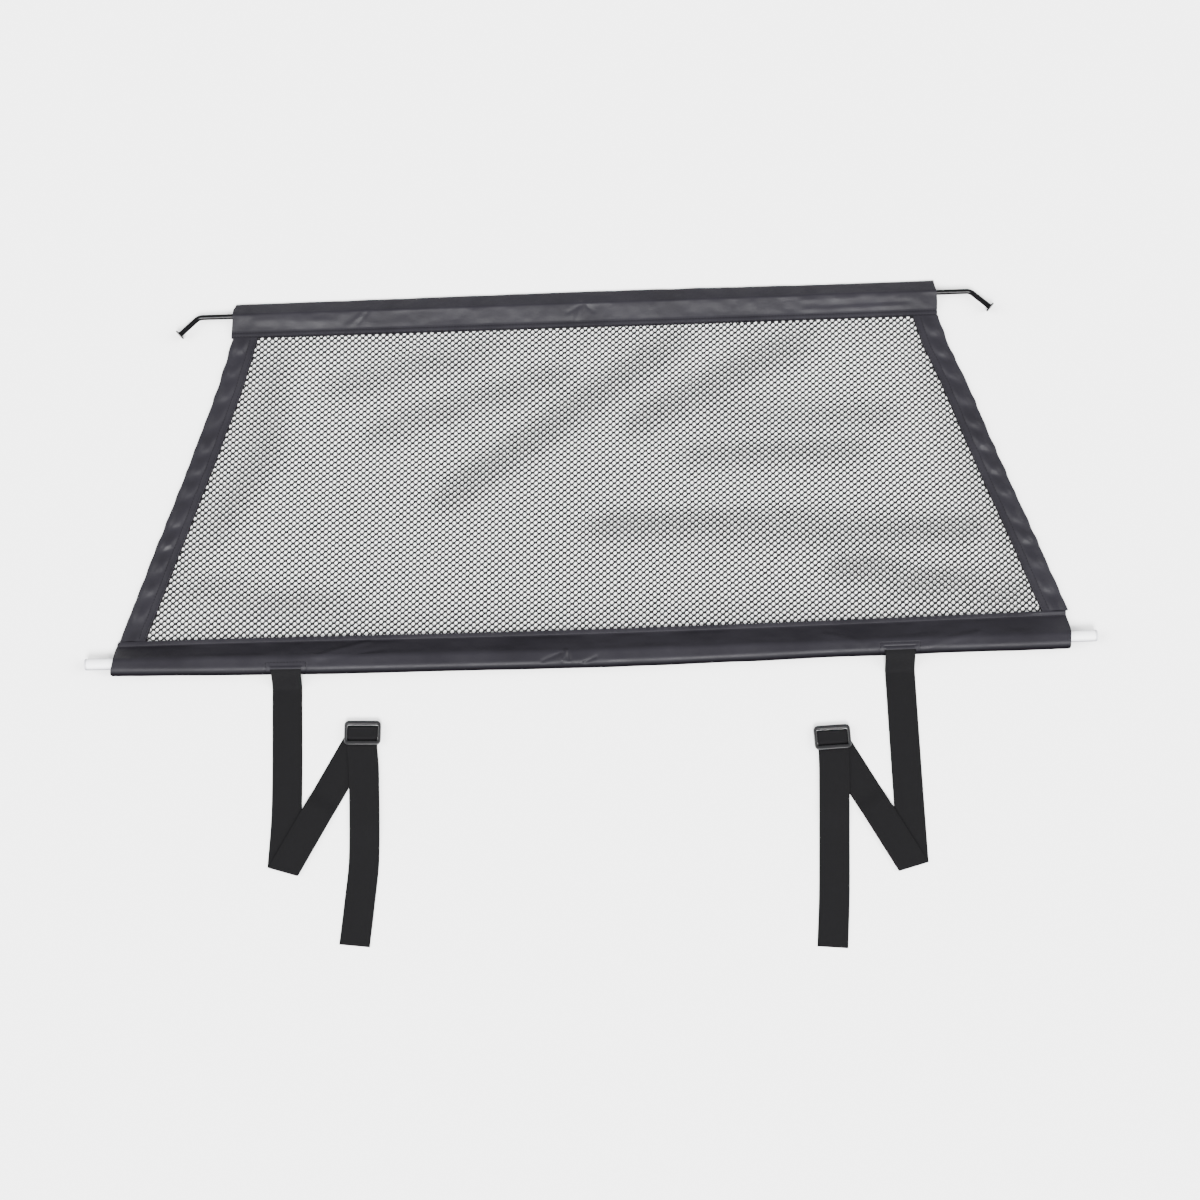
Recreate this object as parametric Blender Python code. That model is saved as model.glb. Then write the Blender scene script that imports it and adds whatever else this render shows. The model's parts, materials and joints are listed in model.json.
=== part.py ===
"""Car dog barrier net, lying flat: a trapezoid of black net bound in artificial leather, between a bent
steel rod in a header sleeve and a straight metal tube in a bottom sleeve, with two webbing straps.

Metres, +Z up. X runs along the rods, +Y points to the top rod, and everything lies on the plane z = 0.
The origin is under the middle of the whole part. A sheet is a grid of points down its middle, given its
thickness to both sides.
"""

from collections import namedtuple
from math import asin, atan2, ceil, cos, exp, hypot, pi, radians, sin, tan

import bmesh
import bpy
from mathutils import Matrix, Vector

# Thicknesses, and the gap that touching pieces keep
GAP = 0.0003
LEATHER = 0.0010
NET = 0.0012
WEBBING = 0.0014

# Top rod: a bar with both ends bent forward, and a flat disc on each tip
ROD_RADIUS = 0.0035
ROD_TILT = radians(0.34)  # the rod and its sleeve lie slightly out of square
ROD_MIDDLE = (0.0040, 0.4199)
ROD_CORNERS = (-0.5152, 0.5235)  # where the straight part would meet the bent ends
ROD_BEND = radians(43)
ROD_BEND_RADIUS = 0.0120
ROD_ARMS = (0.0335, 0.0335)  # from each corner to the end of the bar
ROD_SIDES = 16
DISC_RADIUS = 0.00725
DISC_THICKNESS = 0.0017
DISC_EDGE = 0.0003  # of its rounded rim
ROD_HEIGHT = DISC_RADIUS  # the discs stand on the surface

# Bottom tube: two lengths joined end to end in the middle, with a slight kink there
TUBE_RADIUS = 0.0075
TUBE_END_X = 0.6525
TUBE_END_Y = -0.0552
TUBE_MIDDLE_Y = -0.0605
TUBE_HEIGHT = LEATHER + GAP + TUBE_RADIUS
TUBE_SIDES = 24
KINK = 0.020  # half the length over which the kink is eased
PLUG_THICKNESS = 0.0026
PLUG_EDGE = 0.0008

# Sleeves: a strip folded over its bar, with both edges sewn to the net
SEAM_HEIGHT = 1.5 * LEATHER + 2 * GAP + NET  # the middle of the upper layer at a seam
NET_SEAM_HEIGHT = LEATHER + GAP + NET / 2  # the middle of the net at a seam
NOSE_RADIUS = 0.0015  # at the fold, to the middle of the leather
ROD_POCKET = ROD_RADIUS + GAP + LEATHER / 2 + 0.0001
TUBE_POCKET = TUBE_RADIUS + 2 * GAP + WEBBING + LEATHER / 2  # a strap's end lies over the tube
HEADER_FLANGE = 0.0110
BOTTOM_FLANGE = 0.0080
NET_TUCK = 0.0060  # how far the net reaches in between the layers of a seam
NET_COLUMNS = 48
NET_ROWS = 18

# Side bindings: a strip folded over the net's edge
BINDING_WIDTH = 0.0338  # along X, on an edge that slants
BINDING_NET = 0.0050  # from the binding's fold to the net's edge
BINDING_NOSE = (SEAM_HEIGHT - LEATHER / 2) / 2

# Straps and their adjusters
STRAP_WIDTH = 0.0385
STRAP_RADIUS = TUBE_RADIUS + GAP + WEBBING / 2  # of a strap's hidden end, round the tube
STRAP_ENDS = radians(62)  # where its hidden end lies on the tube, from +Y over the top
STRAP_LEAVES = radians(110)  # where it leaves the tube
SLIT_WAY = 0.0090  # its straight way through the slit
SLIT_CUT = 0.0130
SLIT_CLEARANCE = 0.0004
DROP_REACH = 0.0095  # how long the drop from the slit to the surface keeps the way of either end
FOLD_RADIUS = 0.0010  # of a strap folded flat, to the middle of the webbing
FOLD_TURN = radians(144)
FOLD_STEPS = 8
ON_FLOOR = WEBBING / 2
ON_STRAP = 1.5 * WEBBING + GAP
ON_FOLD = ON_FLOOR + 2 * FOLD_RADIUS
BUCKLE = Vector((0.0470, 0.0312, 0.0036))
BUCKLE_FLOOR = ON_STRAP + WEBBING / 2 + GAP
BUCKLE_CORNER = 0.0060
BUCKLE_EDGE = 0.0009
WINDOW = Vector((0.0392, 0.0206))
WINDOW_CORNER = 0.0008
BAR_WIDTH = 0.0114
BAR_FLOOR = 0.0020
BAR_TOP = 0.0046
BAR_EDGE = 0.0006
OVER_BAR = BAR_TOP + GAP + WEBBING / 2
TURN_AT = 0.0064  # where the webbing turns up, from the middle of the bar
THREADED_TO = -0.0200  # where the tail begins
# The way over the bar and down through the lower slot: the place along the adjuster and the height
OVER_AND_DOWN = (
    (0.0000, OVER_BAR),
    (-0.0058, OVER_BAR),
    (-0.0068, OVER_BAR - 0.0004),
    (-0.0092, ON_STRAP + 0.0004),
    (-0.0101, ON_STRAP),
    (THREADED_TO, ON_STRAP),
)

# The sleeves' long edges: X, the seam's Y and the fold's Y
HEADER_EDGES = (
    (-0.4700, 0.3886, 0.4346),
    (-0.2300, 0.3893, 0.4368),
    (0.0100, 0.3903, 0.4392),
    (0.2500, 0.3914, 0.4398),
    (0.4780, 0.3927, 0.4421),
)
BOTTOM_EDGES = (
    (-0.6150, -0.0260, -0.0689),
    (-0.4700, -0.0253, -0.0722),
    (-0.1700, -0.0268, -0.0751),
    (0.1000, -0.0263, -0.0751),
    (0.3400, -0.0237, -0.0708),
    (0.6175, -0.0196, -0.0688),
)
# The sleeves' ends: X at the seam and X at the fold, left and right
HEADER_ENDS = ((-0.4715, -0.4688), (0.4788, 0.4768))
BOTTOM_ENDS = ((-0.6121, -0.6181), (0.6173, 0.6177))

# The bindings' outer edges: Y, the left one's X and the right one's X
SIDE_EDGES = (
    (-0.0240, -0.6093, 0.6165),
    (0.0800, -0.5725, 0.5815),
    (0.1900, -0.5333, 0.5435),
    (0.3000, -0.4957, 0.5075),
    (0.3570, -0.4788, 0.4862),
    (0.3900, -0.4708, 0.4788),
)

# Soft folds that rise from the net: both ends' X and Y, half width and height
FOLDS = (
    (-0.180, 0.160, 0.124, 0.367, 0.014, 0.0045),
    (-0.272, 0.253, -0.031, 0.323, 0.013, 0.0030),
    (-0.326, 0.317, -0.125, 0.361, 0.013, 0.0030),
    (0.073, 0.256, 0.292, 0.362, 0.014, 0.0040),
    (-0.413, 0.363, -0.425, 0.223, 0.014, 0.0030),
    (-0.425, 0.223, -0.490, 0.122, 0.014, 0.0030),
    (0.138, 0.210, 0.363, 0.203, 0.011, 0.0025),
    (0.174, 0.264, 0.400, 0.258, 0.011, 0.0025),
    (0.016, 0.111, 0.508, 0.096, 0.012, 0.0035),
    (0.328, 0.050, 0.559, 0.000, 0.012, 0.0040),
    (-0.514, 0.041, -0.312, 0.006, 0.012, 0.0025),
)
FOLD_FADE = 0.045  # the folds and the net sink to their own height this far from the binding

# Straps, with X counted outward from the middle: where each leaves its sleeve, the knee of the first run, the
# middle of the folded corner and how far the second run slips along it, the adjuster's middle and its turn in
# degrees, and points down the tail
Strap = namedtuple("Strap", "name side slit knee corner slip buckle turn tail")
STRAPS = (
    Strap("left", -1, 0.3925, (0.3920, -0.2500), (0.3968, -0.3260), 0.0018,
          (0.2952, -0.1538), 1.75,
          ((0.2938, -0.2040), (0.2938, -0.3150), (0.3000, -0.3750), (0.3057, -0.4222))),
    Strap("right", 1, 0.3972, (0.3980, -0.2500), (0.3988, -0.3421), 0.0008,
          (0.3052, -0.1766), 2.30,
          ((0.3054, -0.2210), (0.2997, -0.3325), (0.2966, -0.3825), (0.2915, -0.4408))),
)
LANDING_Y = -0.0960  # where a strap reaches the surface
SKEW_LENGTH = 0.040  # over which a strap's cross lines turn to its folded corner
LIFTED_TO = 0.088  # the second run lies on the first this far from the corner
LOWERED_BY = 0.108
TAIL_LIFTED_TO = -0.264  # the tail lies on the second run down to this Y
TAIL_LOWERED_BY = -0.304
TURN_LENGTH = 0.0065  # of the second run's turn into the adjuster, to each side of its corner
TURN_CORNER = -0.001
FIRST_RUN_STEP = 0.012
SECOND_RUN_STEP = 0.010
TAIL_STEP = 0.014

COLOURS = {  # name: base colour, roughness, metallic
    "net": ((0.012, 0.012, 0.014), 0.75, 0.0),
    "leather": ((0.052, 0.050, 0.060), 0.45, 0.0),
    "webbing": ((0.011, 0.011, 0.013), 0.80, 0.0),
    "black_steel": ((0.015, 0.014, 0.017), 0.22, 0.6),
    "pale_metal": ((0.86, 0.86, 0.88), 0.22, 1.0),
    "pale_plastic": ((0.70, 0.70, 0.73), 0.35, 0.0),
    "black_plastic": ((0.020, 0.020, 0.023), 0.22, 0.0),
}


# ---- curves -------------------------------------------------------------------------------------


def smooth(rows, at):
    """A table's other columns at one value of its first, on a smooth curve through its rows."""
    last = len(rows) - 2
    i = next((k for k in range(last) if at < rows[k + 1][0]), last)
    a, b = rows[i], rows[i + 1]
    before, after = rows[max(i - 1, 0)], rows[min(i + 2, last + 1)]
    step = b[0] - a[0]
    t = (at - a[0]) / step
    values = []
    for k in range(1, len(a)):
        rise = (b[k] - a[k]) / step
        start = (b[k] - before[k]) / (b[0] - before[0]) if i else rise
        end = (after[k] - a[k]) / (after[0] - a[0]) if i < last else rise
        values.append(
            a[k] * (1 + 2 * t) * (1 - t) ** 2
            + b[k] * t * t * (3 - 2 * t)
            + step * (start * t * (1 - t) ** 2 + end * t * t * (t - 1))
        )
    return values if len(values) > 1 else values[0]


def ease(t):
    """0 before t = 0, 1 after t = 1, and a smooth step between."""
    t = min(max(t, 0.0), 1.0)
    return t * t * (3 - 2 * t)


def mix(a, b, t):
    return a + (b - a) * t


def arc(centre, radius, start, end, count):
    """Points round a circle in a plane, count steps apart, both ends included."""
    turns = [mix(start, end, i / count) for i in range(count + 1)]
    return [(centre[0] + radius * cos(a), centre[1] + radius * sin(a)) for a in turns]


def curve_through(points, step):
    """Points about step apart on a smooth plane curve through the points given."""
    far = [0.0]
    for a, b in zip(points, points[1:]):
        far.append(far[-1] + hypot(b[0] - a[0], b[1] - a[1]))
    rows = [(f, *p) for f, p in zip(far, points)]
    count = ceil(far[-1] / step)
    return [tuple(smooth(rows, far[-1] * i / count)) for i in range(count + 1)]


# ---- meshes -------------------------------------------------------------------------------------


def material(name):
    """The shared look of one kind of material, made once."""
    made = bpy.data.materials.get(name)
    if made is None:
        colour, roughness, metallic = COLOURS[name]
        made = bpy.data.materials.new(name)
        made.use_nodes = True
        shader = made.node_tree.nodes["Principled BSDF"]
        shader.inputs["Base Color"].default_value = (*colour, 1.0)
        shader.inputs["Roughness"].default_value = roughness
        shader.inputs["Metallic"].default_value = metallic
    return made


def add_object(name, colour, points, faces, sharp=radians(35)):
    """One closed mesh object, with its faces turned outward."""
    mesh = bpy.data.meshes.new(name)
    mesh.from_pydata([tuple(p) for p in points], [], faces)
    shell = bmesh.new()
    shell.from_mesh(mesh)
    bmesh.ops.recalc_face_normals(shell, faces=shell.faces[:])
    shell.to_mesh(mesh)
    shell.free()
    mesh.shade_smooth()
    mesh.set_sharp_from_angle(angle=sharp)
    mesh.materials.append(material(colour).copy())
    made = bpy.data.objects.new(name, mesh)
    bpy.context.collection.objects.link(made)
    return made


def thick_sheet(name, colour, grid, thickness):
    """A sheet given its thickness: grid holds rows of points on its middle surface."""
    rows, columns = len(grid), len(grid[0])
    grid = [[Vector(p) for p in row] for row in grid]
    near, far = [], []
    for i in range(rows):
        for j in range(columns):
            along = grid[min(i + 1, rows - 1)][j] - grid[max(i - 1, 0)][j]
            across = grid[i][min(j + 1, columns - 1)] - grid[i][max(j - 1, 0)]
            offset = along.cross(across).normalized() * (thickness / 2)
            near.append(grid[i][j] - offset)
            far.append(grid[i][j] + offset)
    half = rows * columns
    faces = []
    for i in range(rows - 1):
        for j in range(columns - 1):
            a = i * columns + j
            quad = (a, a + 1, a + columns + 1, a + columns)
            faces += [quad, tuple(half + k for k in reversed(quad))]
    rim = [j for j in range(columns)]
    rim += [i * columns + columns - 1 for i in range(1, rows)]
    rim += [(rows - 1) * columns + j for j in range(columns - 2, -1, -1)]
    rim += [i * columns for i in range(rows - 2, 0, -1)]
    for a, b in zip(rim, rim[1:] + rim[:1]):
        faces.append((b, a, half + a, half + b))
    return add_object(name, colour, near + far, faces)


def stacked_rings(name, colour, rings, closed=False):
    """A body through rings of as many points each: capped at both ends, or closed on itself."""
    count = len(rings[0])
    points = [p for ring in rings for p in ring]
    faces = []
    for i in range(len(rings) if closed else len(rings) - 1):
        a, b = i * count, (i + 1) % len(rings) * count
        for k in range(count):
            m = (k + 1) % count
            faces.append((a + k, a + m, b + m, b + k))
    if not closed:
        faces += [tuple(range(count)), tuple(range(len(points) - count, len(points)))]
    return add_object(name, colour, points, faces)


def round_bar(name, colour, path, radii, sides):
    """A round body along a level path, with a radius for each of its points."""
    path = [Vector(p) for p in path]
    rings = []
    for i, centre in enumerate(path):
        way = (path[min(i + 1, len(path) - 1)] - path[max(i - 1, 0)]).normalized()
        side = Vector((0, 0, 1)).cross(way)
        turns = [2 * pi * (k + 0.5) / sides - pi / sides for k in range(sides)]
        rings.append([centre + radii[i] * (side * cos(a) + Vector((0, 0, sin(a)))) for a in turns])
    return stacked_rings(name, colour, rings)


# ---- the panel's outline ------------------------------------------------------------------------


def header_seam(x):
    return smooth(HEADER_EDGES, x)[0]


def bottom_seam(x):
    return smooth(BOTTOM_EDGES, x)[0]


def side_edge(side, y):
    """The X of a binding's outer edge: side is -1 on the left and 1 on the right."""
    return smooth(SIDE_EDGES, y)[0 if side < 0 else 1]


def rod_y(x):
    return ROD_MIDDLE[1] + (x - ROD_MIDDLE[0]) * tan(ROD_TILT)


def tube_y(x):
    return mix(TUBE_MIDDLE_Y, TUBE_END_Y, abs(x) / TUBE_END_X)


# ---- cloth --------------------------------------------------------------------------------------


def fold_height(x, y):
    """How far the soft folds lift the net at one place."""
    height = 0.0
    for x1, y1, x2, y2, half_width, rise in FOLDS:
        long = (x2 - x1) ** 2 + (y2 - y1) ** 2
        t = min(max(((x - x1) * (x2 - x1) + (y - y1) * (y2 - y1)) / long, 0), 1)
        off = hypot(x - mix(x1, x2, t), y - mix(y1, y2, t))
        height += rise * exp(-((off / half_width) ** 2))
    return height


def net_panel():
    """The net: its edges lie between the layers of the seams and the bindings."""
    across = [0.0] + [i / NET_COLUMNS for i in range(NET_COLUMNS + 1)] + [1.0]
    up = [0.0] + [i / NET_ROWS for i in range(NET_ROWS + 1)] + [1.0]
    grid = []
    for j, v in enumerate(up):
        row = []
        y_side = mix(bottom_seam(0), header_seam(0), v)
        left = side_edge(-1, y_side) + BINDING_WIDTH
        right = side_edge(1, y_side) - BINDING_WIDTH
        for i, u in enumerate(across):
            x = mix(left, right, u)
            if i == 0:
                x = left - BINDING_WIDTH + BINDING_NET
            if i == len(across) - 1:
                x = right + BINDING_WIDTH - BINDING_NET
            y = mix(bottom_seam(x), header_seam(x), v)
            inside = min(x - left, right - x, y - bottom_seam(x), header_seam(x) - y)
            loose = ease(inside / FOLD_FADE)
            z = mix(NET_SEAM_HEIGHT, NET / 2 + GAP + fold_height(x, y), loose)
            if j == 0:
                y -= NET_TUCK
            if j == len(up) - 1:
                y += NET_TUCK
            row.append((x, y, z))
        grid.append(row)
    return thick_sheet("net_panel", "net", grid, NET)


def sleeve_section(width, bar_at, bar_height, pocket, flange):
    """The middle of a sleeve's leather, as (distance from the fold, height), from its lower seam edge
    round the fold and over the bar to its upper seam edge."""
    nose = (LEATHER / 2 + NOSE_RADIUS, LEATHER / 2 + NOSE_RADIUS)
    to_bar = (bar_at - nose[0], bar_height - nose[1])
    rise = atan2(to_bar[1], to_bar[0]) + asin((pocket - NOSE_RADIUS) / hypot(*to_bar))
    seam = (width - flange, SEAM_HEIGHT)
    to_seam = (seam[0] - bar_at, seam[1] - bar_height)
    fall = atan2(to_seam[1], to_seam[0]) - asin(pocket / hypot(*to_seam))
    points = [(width, LEATHER / 2), (width - flange, LEATHER / 2), (bar_at, LEATHER / 2)]
    points += arc(nose, NOSE_RADIUS, -pi / 2, rise - 3 * pi / 2, 4)
    points += arc((bar_at, bar_height), pocket, rise + pi / 2, fall + pi / 2, 8)
    return points + [seam, (width - flange / 2, SEAM_HEIGHT), (width, SEAM_HEIGHT)]


def sleeve(name, edges, ends, bar, bar_height, pocket, flange, stations):
    """A sleeve along its bar: bar gives the bar's Y at an X."""
    grid = []
    for i in range(stations):
        t = i / (stations - 1)
        x = mix(edges[0][0], edges[-1][0], t)
        seam, fold = smooth(edges, x)
        toward = 1 if seam > fold else -1
        section = sleeve_section(abs(seam - fold), abs(bar(x) - fold), bar_height, pocket, flange)
        row = []
        for off, z in section:
            share = off / abs(seam - fold)
            left = mix(ends[0][1], ends[0][0], share)
            right = mix(ends[1][1], ends[1][0], share)
            row.append((mix(left, right, t), fold + toward * off, z))
        grid.append(row)
    return thick_sheet(name, "leather", grid, LEATHER)


def binding(side):
    """A strip folded over one side edge of the net, from the bottom seam to the header's."""
    section = [(BINDING_WIDTH, LEATHER / 2), (BINDING_WIDTH / 2, LEATHER / 2)]
    nose = (LEATHER / 2 + BINDING_NOSE, LEATHER / 2 + BINDING_NOSE)
    section += arc(nose, BINDING_NOSE, -pi / 2, -3 * pi / 2, 6)
    section += [(BINDING_WIDTH / 2, SEAM_HEIGHT), (BINDING_WIDTH, SEAM_HEIGHT)]
    grid = []
    stations = 15
    for i in range(stations):
        v = i / (stations - 1)
        row = []
        for off, z in section:
            x = side_edge(side, mix(bottom_seam(0), header_seam(0), v)) - side * off
            y = mix(bottom_seam(x) + GAP, header_seam(x) - GAP, v)
            row.append((x, y, z))
        grid.append(row)
    name = "binding_left" if side < 0 else "binding_right"
    return thick_sheet(name, "leather", grid, LEATHER)


# ---- bars ---------------------------------------------------------------------------------------


def rod_end(side):
    """A bent end's corner, and the way that it points from there."""
    x = ROD_CORNERS[0 if side < 0 else 1]
    angle = ROD_TILT - ROD_BEND if side > 0 else pi + ROD_TILT + ROD_BEND
    return Vector((x, rod_y(x), ROD_HEIGHT)), Vector((cos(angle), sin(angle), 0))


def top_rod():
    """The bent rod, from disc to disc."""
    straight = Vector((cos(ROD_TILT), sin(ROD_TILT), 0))
    cut = ROD_BEND_RADIUS * tan(ROD_BEND / 2)
    path = []
    for side in (-1, 1):
        corner, way = rod_end(side)
        arm = ROD_ARMS[0 if side < 0 else 1]
        inward = straight * -side
        middle = corner + (way + inward).normalized() * (ROD_BEND_RADIUS / cos(ROD_BEND / 2))
        bend = []
        steps = 5
        for i in range(steps + 1):
            turn = Matrix.Rotation(side * ROD_BEND * i / steps, 3, "Z")
            bend.append(middle + turn @ (corner + way * cut - middle))
        end = [corner + way * arm, *bend]
        path += end if side < 0 else end[::-1]
    return round_bar("top_rod", "black_steel", path, [ROD_RADIUS] * len(path), ROD_SIDES)


def rod_disc(side):
    """The flat disc on one tip of the rod."""
    corner, way = rod_end(side)
    arm = ROD_ARMS[0 if side < 0 else 1] + GAP
    stops = (arm, arm + DISC_EDGE, arm + DISC_THICKNESS - DISC_EDGE, arm + DISC_THICKNESS)
    radii = (DISC_RADIUS - DISC_EDGE, DISC_RADIUS, DISC_RADIUS, DISC_RADIUS - DISC_EDGE)
    name = "rod_disc_left" if side < 0 else "rod_disc_right"
    return round_bar(name, "black_steel", [corner + way * s for s in stops], radii, TUBE_SIDES)


def bottom_tube():
    """The tube, with the slight kink of its middle joint eased over a short length."""
    inner = TUBE_END_X - PLUG_THICKNESS - GAP
    stops = (-inner, -KINK, 0.0, KINK, inner)
    path = [(x, tube_y(x), TUBE_HEIGHT) for x in stops]
    path[2] = (0.0, tube_y(KINK / 2), TUBE_HEIGHT)
    return round_bar("bottom_tube", "pale_metal", path, [TUBE_RADIUS] * len(path), TUBE_SIDES)


def tube_plug(side):
    """The plug's round head, which closes one end of the tube."""
    inner = TUBE_END_X - PLUG_THICKNESS
    stops = (inner, TUBE_END_X - PLUG_EDGE, TUBE_END_X - PLUG_EDGE / 4, TUBE_END_X)
    radii = (TUBE_RADIUS, TUBE_RADIUS, TUBE_RADIUS - PLUG_EDGE / 2, TUBE_RADIUS - PLUG_EDGE)
    path = [(side * x, tube_y(inner), TUBE_HEIGHT) for x in stops]
    name = "tube_plug_left" if side < 0 else "tube_plug_right"
    return round_bar(name, "pale_plastic", path, radii, TUBE_SIDES)


# ---- straps -------------------------------------------------------------------------------------


def slit_run(strap):
    """A strap's hidden end and the way out through its slit, as (Y, height) in its own plane."""
    centre = (tube_y(strap.slit), TUBE_HEIGHT)
    hidden = arc(centre, STRAP_RADIUS, STRAP_ENDS, STRAP_LEAVES, 4)
    way = (-sin(STRAP_LEAVES), cos(STRAP_LEAVES))
    start = hidden[-1]
    clear = (start[0] + SLIT_WAY * way[0], start[1] + SLIT_WAY * way[1])
    handles = (
        clear,
        (clear[0] + DROP_REACH * way[0], clear[1] + DROP_REACH * way[1]),
        (LANDING_Y + DROP_REACH, ON_FLOOR),
        (LANDING_Y, ON_FLOOR),
    )
    drop = []
    for i in range(9):
        t = i / 8
        weights = ((1 - t) ** 3, 3 * t * (1 - t) ** 2, 3 * t * t * (1 - t), t**3)
        drop.append(tuple(sum(w * h[k] for w, h in zip(weights, handles)) for k in (0, 1)))
    return hidden, way, drop


def cross_way(direction):
    """The level way across a run that points in a level direction, on the side of +X."""
    across = Vector((-direction.y, direction.x, 0)).normalized()
    return -across if across.x < 0 else across


def strap_lines(strap):
    """A strap's cross lines, as (middle, way across, half length), with X counted outward."""
    half = STRAP_WIDTH / 2
    up = Vector((0, 0, 1))
    lines = []

    hidden, _, drop = slit_run(strap)
    outward = Vector((1, 0, 0))
    for y, z in hidden + drop:
        lines.append((Vector((strap.slit, y, z)), outward, half))

    # the first run, on the surface, down to the folded corner
    corner = Vector((*strap.corner, 0))
    knee = Vector((*strap.knee, 0))
    run = curve_through([(strap.slit, LANDING_Y), strap.knee, strap.corner], FIRST_RUN_STEP)
    into = (corner - knee).normalized()
    axis = Vector((-sin(radians(strap.turn)), cos(radians(strap.turn)), 0))
    buckle = Vector((*strap.buckle, 0))
    bend = buckle + axis * TURN_CORNER
    out = (bend - corner).normalized()
    crease = (out - into).normalized()
    crease = Vector((crease.y, -crease.x, 0))
    if crease.x < 0:
        crease = -crease
    for i, (x, y) in enumerate(run[1:], 1):
        here = Vector((x, y, 0))
        square = cross_way(here - Vector((*run[i - 1], 0)))
        share = ease(1 - (corner - here).length / SKEW_LENGTH)
        across = mix(square, crease, share).normalized()
        lines.append((here + up * ON_FLOOR, across, half / across.dot(square)))

    # the flat fold
    outside = Vector((crease.y, -crease.x, 0))
    second = corner - crease * strap.slip
    for step in range(FOLD_STEPS + 1):
        angle = FOLD_TURN * (step / FOLD_STEPS - 0.5)
        middle = mix(corner, second, step / FOLD_STEPS) + outside * (FOLD_RADIUS * cos(angle))
        middle += up * (ON_FLOOR + FOLD_RADIUS * (1 + sin(angle)))
        lines.append((middle, crease, half / abs(crease.dot(cross_way(out)))))

    # the second run: over the first, down to the surface and up to the adjuster
    out = (bend - second).normalized()
    length = (bend - second).length - TURN_LENGTH
    square = cross_way(out)
    steps = ceil(length / SECOND_RUN_STEP)
    for i in range(steps + 1):
        far = length * i / steps
        share = ease(1 - far / SKEW_LENGTH)
        across = mix(square, crease, share).normalized()
        height = mix(ON_FOLD, ON_FLOOR, ease((far - LIFTED_TO) / (LOWERED_BY - LIFTED_TO)))
        lines.append((second + out * far + up * height, across, half / across.dot(square)))

    # the turn beneath the adjuster
    for t in (0.25, 0.5, 0.75, 1.0):
        a = mix(bend - out * TURN_LENGTH, bend, t)
        b = mix(bend, bend + axis * TURN_LENGTH, t)
        lines.append((mix(a, b, t) + up * ON_FLOOR, cross_way(mix(out, axis, t)), half))

    # up through the upper slot, over the bar and down through the lower one
    across = Vector((axis.y, -axis.x, 0))
    turn_radius = (OVER_BAR - ON_FLOOR) / 2
    turned = arc((TURN_AT, ON_FLOOR + turn_radius), turn_radius, -pi / 2, pi / 2, 8)
    for along, z in (*turned, *OVER_AND_DOWN):
        lines.append((buckle + axis * along + up * z, across, half))

    # the tail
    start = buckle + axis * THREADED_TO
    tail = curve_through([tuple(start.xy), *strap.tail], TAIL_STEP)
    for i, (x, y) in enumerate(tail[1:], 1):
        way = Vector((x - tail[i - 1][0], y - tail[i - 1][1], 0)).normalized()
        lowered = ease((TAIL_LIFTED_TO - y) / (TAIL_LIFTED_TO - TAIL_LOWERED_BY))
        middle = Vector((x, y, mix(ON_STRAP, ON_FLOOR, lowered)))
        lines.append((middle, Vector((-way.y, way.x, 0)), half))
    return lines


def strap_body(strap):
    """One strap, a single ribbon folded at its corner and threaded through its adjuster."""
    grid = []
    for middle, across, half in strap_lines(strap):
        row = [middle + across * (half * k) for k in (-1, 0, 1)]
        grid.append([(strap.side * p.x, p.y, p.z) for p in row])
    return thick_sheet(f"strap_{strap.name}", "webbing", grid, WEBBING)


def cut_slit(sleeve_object, strap):
    """The slit in the bottom sleeve that a strap comes out of."""
    hidden, way, _ = slit_run(strap)
    size = (STRAP_WIDTH + 2 * SLIT_CLEARANCE, SLIT_CUT, WEBBING + 2 * SLIT_CLEARANCE)
    middle = (hidden[-1][0] + SLIT_WAY / 2 * way[0], hidden[-1][1] + SLIT_WAY / 2 * way[1])
    shell = bmesh.new()
    bmesh.ops.create_cube(shell, size=1.0)
    bmesh.ops.scale(shell, vec=size, verts=shell.verts[:])
    mesh = bpy.data.meshes.new(f"slit_cutter_{strap.name}")
    shell.to_mesh(mesh)
    shell.free()
    cutter = bpy.data.objects.new(mesh.name, mesh)
    bpy.context.collection.objects.link(cutter)
    cutter.location = (strap.side * strap.slit, *middle)
    cutter.rotation_euler = (atan2(-way[1], -way[0]), 0, 0)
    cutter.hide_render = True
    cutter.display_type = "WIRE"
    cut = sleeve_object.modifiers.new(cutter.name, "BOOLEAN")
    cut.operation = "DIFFERENCE"
    cut.object = cutter


def rounded_outline(width, depth, corner):
    """Points round a rectangle with round corners."""
    points = []
    for k, (sx, sy) in enumerate(((1, 1), (-1, 1), (-1, -1), (1, -1))):
        centre = (sx * (width / 2 - corner), sy * (depth / 2 - corner))
        points += arc(centre, corner, k * pi / 2, (k + 1) * pi / 2, 4)
    return points


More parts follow.
